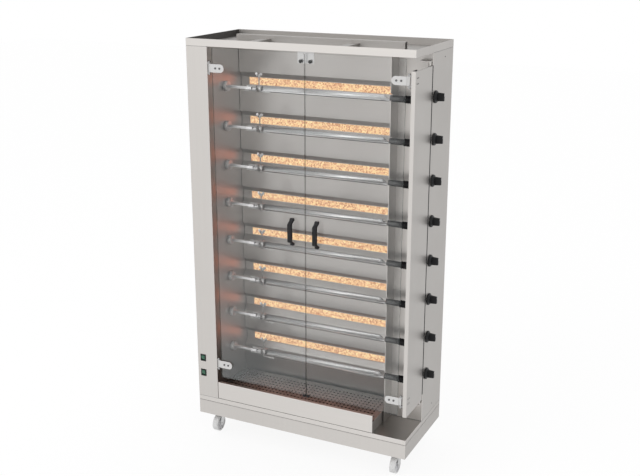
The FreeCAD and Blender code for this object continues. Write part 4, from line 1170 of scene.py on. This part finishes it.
def wheel_shape(radius, width):
    wheel = start("wheel_shape", bpy.ops.mesh.primitive_cylinder_add, vertices=64,
                  radius=radius, depth=width, location=(0, 0, 0))
    for side in (1, -1):
        pick(wheel, facing((0, 0, side)))
        inset_by(2.0 * MM)
        raise_by(0.8 * MM, 0.985)
        inset_by(5.5 * MM)
        raise_by(-3.8 * MM, 0.99)
        inset_by(16.0 * MM)
        raise_by(3.8 * MM, 0.95)
    close_edit(wheel)
    tallest = max(abs(vertex.co.z) for vertex in wheel.data.vertices)
    for vertex in wheel.data.vertices:
        vertex.co.z *= width / 2 / tallest
    bevelled(wheel, 1.2 * MM, 3, 25)
    return wheel


low, high = corners("caster_wheel_front_left")
wheel_radius = (high.z - low.z) / 2
wheel_width = high.x - low.x
wheel = wheel_shape(wheel_radius, wheel_width)
wear(wheel, tread_rubber, hub_plastic)
for face in wheel.data.polygons:
    if math.hypot(face.center.x, face.center.y) < wheel_radius - TREAD:
        face.material_index = 1
smooth(wheel)
for corner in CORNERS:
    node = f"caster_wheel_{corner}"
    twin = copy_of(wheel, f"rubber_wheel_{corner}")
    turn_and_move(twin, centre(node), (0, QUARTER, 0))
    give(twin, f"wheel_{corner}", "caster_rubber", node)
bpy.data.objects.remove(wheel)
print("wheel", wheel_radius, wheel_width)

# %% [markdown]
# The ceramic of one burner is a row of tiles laid edge to edge. Each strip is a block
# cut across into five, whose faces are inset and raised by a hair, so that the
# joints between the tiles show as fine dark grooves.

# %% Burner plaques
TILES = 5
STRIP_HEIGHT = 43 * MM
GROOVE = 0.7 * MM
GROOVE_DEPTH = 0.6 * MM


def tile_strip(low, high, name):
    size = high - low
    place = (low + high) / 2
    strip = start(name, bpy.ops.mesh.primitive_cube_add, size=1, location=place, scale=size)
    for cut in range(1, TILES):
        bpy.ops.mesh.select_all(action="SELECT")
        bpy.ops.mesh.bisect(plane_co=(low.x + size.x * cut / TILES, place.y, place.z),
                            plane_no=(1, 0, 0))
    pick(strip, facing((0, -1, 0)))
    bpy.ops.mesh.inset(thickness=GROOVE, use_individual=True)
    bpy.ops.transform.translate(value=(0, -GROOVE_DEPTH, 0))
    close_edit(strip)
    return strip


low, high = corners("burner_plaques")
rise = (high.z - low.z - STRIP_HEIGHT) / (len(TIERS) - 1)
strips = []
for tier in TIERS:
    foot = Vector((low.x, low.y + GROOVE, low.z + rise * (len(TIERS) - tier)))
    crown = Vector((high.x, high.y, foot.z + STRIP_HEIGHT))
    strips.append(tile_strip(foot, crown, f"tiles_{tier}"))
plaques = joined(strips, "ceramic_tiles")
wear(plaques, ceramic)
give(plaques, "cabinet", "plaque_ceramic", "burner_plaques")
print("tile strips", len(strips), "pitch", round(rise, 4))

# %% [markdown]
# Screws are what tells the eye how big a thing is. A pan head is a low dome, made by
# insetting and raising the face of a disc. Two crossed bars are cut out of it with
# Boolean modifiers, which gives the recess crisp walls.

# %% Screw head
SCREW_RADIUS = 4.6 * MM
SMALL_RADIUS = 3.2 * MM


def pan_head(radius):
    """A pan head that looks along +Z, with a cross recess."""
    head = start("pan_head", bpy.ops.mesh.primitive_cylinder_add, vertices=24,
                 radius=radius, depth=0.4 * radius, location=(0, 0, 0.2 * radius))
    pick(head, facing((0, 0, 1)))
    inset_by(0.18 * radius)
    bpy.ops.transform.translate(value=(0, 0, 0.22 * radius))
    inset_by(0.42 * radius)
    bpy.ops.transform.translate(value=(0, 0, 0.06 * radius))
    close_edit(head)
    cross = []
    for turn in (0, QUARTER):
        arm = start("arm", bpy.ops.mesh.primitive_cube_add, size=1,
                    location=(0, 0, 0.66 * radius), rotation=(0, 0, turn),
                    scale=(1.1 * radius, 0.24 * radius, 0.5 * radius))
        close_edit(arm)
        cross.append(arm)
    for arm in cross:
        modifier = head.modifiers.new("recess", "BOOLEAN")
        modifier.operation = "DIFFERENCE"
        modifier.object = arm
        clear_selection()
        bpy.context.view_layer.objects.active = head
        bpy.ops.object.modifier_apply(modifier=modifier.name)
        bpy.data.objects.remove(arm)
    wear(head, screw_steel)
    smooth(head)
    return head


screw = pan_head(SCREW_RADIUS)
small_screw = pan_head(SMALL_RADIUS)
print("screw head of", len(screw.data.polygons), "faces")

# %% [markdown]
# The heads are copied to their places, sunk a little into the sheet, and those of one
# row are joined into one piece. The hinge leaves carry two each, the post holds its
# brackets with four small ones each, and the back panel is screwed on all round.

# %% Screws
OUT = {"front": (QUARTER, 0, 0), "right": (0, QUARTER, 0), "back": (-QUARTER, 0, 0)}


def screw_row(name, body, places, way, pattern):
    """Copies of a screw at places, all facing one way, as one piece."""
    copies = []
    for number, place in enumerate(places):
        twin = copy_of(pattern, f"{name}_{number}")
        turn_and_move(twin, place, OUT[way])
        copies.append(twin)
    row = joined(copies, name)
    give(row, body, "fitting_steel")
    return row


HINGE_RISE = 19 * MM
HINGE_SPAN = 1466 * MM
HINGE_OFFSET = 5 * MM
LEAF_FRONT = 1.9 * MM
SUNK = 1.2 * MM
EDGE_INSET = 12 * MM
END_INSET = 20 * MM
GLAND_REACH = 14 * MM
LEAF_SPOTS = (34 * MM, 56 * MM)
POST_SPOTS = (20 * MM, 34 * MM)
POST_SPREAD = 12 * MM
SIDE_SPOTS = ((108 * MM, 1934 * MM), (126 * MM, 247 * MM))


def hinge_heights(side):
    """The middles of a door's two hinges."""
    foot = corners(f"{side}_door_fittings")[0].z + HINGE_RISE
    return foot, foot + HINGE_SPAN


for side, inward in (("left", 1), ("right", -1)):
    low, high = corners(f"{side}_door_fittings")
    axis = low.x + HINGE_OFFSET if inward > 0 else high.x - HINGE_OFFSET
    spots = [(axis + inward * reach, low.y + LEAF_FRONT, height)
             for height in hinge_heights(side) for reach in LEAF_SPOTS]
    screw_row(f"{side}_leaf_screws", f"{side}_door", spots, "front", screw)
spots = [(post_high.x - SUNK, post_low.y + reach, height + shift)
         for height in hinge_heights("left") for shift in (-POST_SPREAD, POST_SPREAD)
         for reach in POST_SPOTS]
screw_row("post_side_screws", "post", spots, "right", small_screw)
low, high = corners("right_housing")
spots = [(high.x - SUNK, high.y - depth, height) for depth, height in SIDE_SPOTS]
screw_row("side_panel_screws", "cabinet", spots, "right", small_screw)
low, high = corners("back_panel")
columns = (low.x + EDGE_INSET, (low.x + high.x) / 2, high.x - EDGE_INSET)
climb = (high.z - low.z - 2 * END_INSET) / 4
heights = [low.z + END_INSET + climb * step for step in range(5)]
spots = [(x, high.y - GLAND_REACH - SUNK, z) for z in heights for x in columns
         if x != columns[1] or z in (heights[0], heights[-1])]
screw_row("back_panel_screws", "cabinet", spots, "back", screw)
bpy.data.objects.remove(screw)
bpy.data.objects.remove(small_screw)
print("screws placed")

# %% [markdown]
# A few small blocks with rounded edges finish the front. A black rubber buffer sits at
# each pane's foot, where the doors meet. A thin black strip runs down the right
# housing's front edge, where the post closes: a painted shadow of the gap there. A thin
# grey bead along each joint between a housing and the trays is painted shade: it draws
# the joint's dark line.

# %% Buffers, painted shadow strip and beads
BUFFER_SIZE = Vector((16 * MM, 11 * MM, 10 * MM))
BUFFER_DROP = 3 * MM
GAP_SHADE_WIDTH = 7 * MM
GAP_SHADE_GAUGE = 1.6 * MM
GAP_SHADE_FOOT = 356 * MM
GAP_SHADE_OFFSET = 2.2 * MM
BEAD = 1.6 * MM
BEAD_DEPTH = 1.2 * MM
BEAD_INSET = 3 * MM
PIVOT_REACH = 30 * MM
PANEL_DEPTH = 263 * MM

for side, inward in (("left", -1), ("right", 1)):
    low, high = corners(f"{side}_door_glass")
    edge = high.x if side == "left" else low.x
    place = (edge + inward * BUFFER_SIZE.x / 2, (low.y + high.y) / 2, low.z - BUFFER_DROP)
    buffer = soft_block(f"{side}_buffer", place, BUFFER_SIZE, 1.5 * MM, 3)
    wear(buffer, grip_plastic)
    smooth(buffer)
    give(buffer, f"{side}_door", "black_plastic")

# A thin black strip down the right housing's front edge is a painted shadow of the gap where the
# post closes.
place = (post_high.x, post_high.y + GAP_SHADE_OFFSET + GAP_SHADE_WIDTH / 2, (GAP_SHADE_FOOT + post_high.z) / 2)
size = (GAP_SHADE_GAUGE, GAP_SHADE_WIDTH, post_high.z - GAP_SHADE_FOOT)
gap_shade = soft_block("post_gap_shade", place, size, 0.6 * MM, 2)
wear(gap_shade, grip_plastic)
give(gap_shade, "cabinet", "black_plastic")

left_low, left_high = corners("left_housing")
right_low, right_high = corners("right_housing")
panel_front = right_high.y - PANEL_DEPTH
across_left = Vector((left_high.x - left_low.x - BEAD_INSET, BEAD_DEPTH, BEAD))
side_length = right_high.y - right_low.y - PIVOT_REACH - BEAD_INSET
along_right = Vector((BEAD_DEPTH, side_length, BEAD))
across_panel = Vector((right_high.x - right_low.x - BEAD_INSET, BEAD_DEPTH, 1.5 * BEAD))
# The beads are painted shade: thin grey strips that draw the dark line along each joint.
beads = []
for height in (left_low.z - BEAD / 2, left_high.z - BEAD / 2):
    for foot, size in (
            (Vector((left_low.x + BEAD_INSET, left_low.y - BEAD_DEPTH / 4, height)), across_left),
            (Vector((right_high.x - 0.75 * BEAD_DEPTH, right_low.y + PIVOT_REACH, height)),
             along_right)):
        beads.append(soft_block("seam_shade_bead", foot + size / 2, size, 0.3 * MM))
foot = Vector((right_low.x, panel_front - BEAD_DEPTH / 2, right_low.z))
beads.append(soft_block("seam_shade_bead", foot + across_panel / 2, across_panel))
joint = joined(beads, "seam_shade_beads")
wear(joint, seam_shade_paint)
give(joint, "cabinet", "black_plastic")
print("buffers, seal and", len(beads), "beads modelled")

# %% [markdown]
# At the back the gas inlet and the cable gland show. The inlet is a stub on the gas
# rail's node: in a merged copy its end face is inset and pushed in, which opens the
# bore. Its thread is a row of thin rings, which at this size look like a real one. The
# gland gets a domed nut with a hole for the cable.

# %% Inlet and gland
INLET = Vector((0.497, 0, 0.262))
INLET_WALL = 3.5 * MM
BORE_DEPTH = 14 * MM
THREAD_RADIUS = 10.3 * MM
THREAD_HEIGHT = 0.8 * MM
THREAD_PITCH = 1.8 * MM
THREAD_START = 1.4 * MM
THREAD_TURNS = 9
GLAND_RADIUS = 9.5 * MM
GLAND_FLANGE = 3 * MM
GLAND_SUNK = 0.4 * MM
GLAND_INSET = 53.5 * MM

low, high = corners("gas_manifold")
manifold = painted_copy("gas_manifold", "gas_rail_and_inlet", (gas_brass,), lambda face: 0)
bpy.ops.object.mode_set(mode="EDIT")
pick(manifold, lambda face: face.normal.y > 0.99
     and face.calc_center_median().y > high.y - MM)
inset_by(INLET_WALL)
raise_by(-BORE_DEPTH)
close_edit(manifold)
smooth(manifold, 30)
give(manifold, "cabinet", "gas_brass", "gas_manifold")
rings = []
for turn in range(THREAD_TURNS):
    ring = start("ring", bpy.ops.mesh.primitive_torus_add, major_radius=THREAD_RADIUS,
                 minor_radius=THREAD_HEIGHT, major_segments=40, minor_segments=8,
                 location=(INLET.x, high.y - THREAD_START - THREAD_PITCH * turn, INLET.z),
                 rotation=(QUARTER, 0, 0))
    close_edit(ring)
    rings.append(ring)
thread = joined(rings, "inlet_thread")
wear(thread, gas_brass)
smooth(thread, 60)
give(thread, "cabinet", "gas_brass")

low, high = corners("back_panel")
gland = start("gland_nut", bpy.ops.mesh.primitive_cylinder_add, vertices=32,
              radius=GLAND_RADIUS, depth=GLAND_FLANGE, location=(0, 0, GLAND_FLANGE / 2))
pick(gland, facing((0, 0, 1)))
raise_by(1.5 * MM, 0.93)
raise_by(1.5 * MM, 0.80)
inset_by(2.2 * MM)
raise_by(-5.0 * MM)
close_edit(gland)
spot = (low.x + GLAND_INSET, high.y - GLAND_SUNK, INLET.z)
turn_and_move(gland, spot, (-QUARTER, 0, 0))
wear(gland, bezel_plastic)
smooth(gland, 40)
give(gland, "cabinet", "black_plastic")
print("inlet with", THREAD_TURNS, "rings and gland modelled")
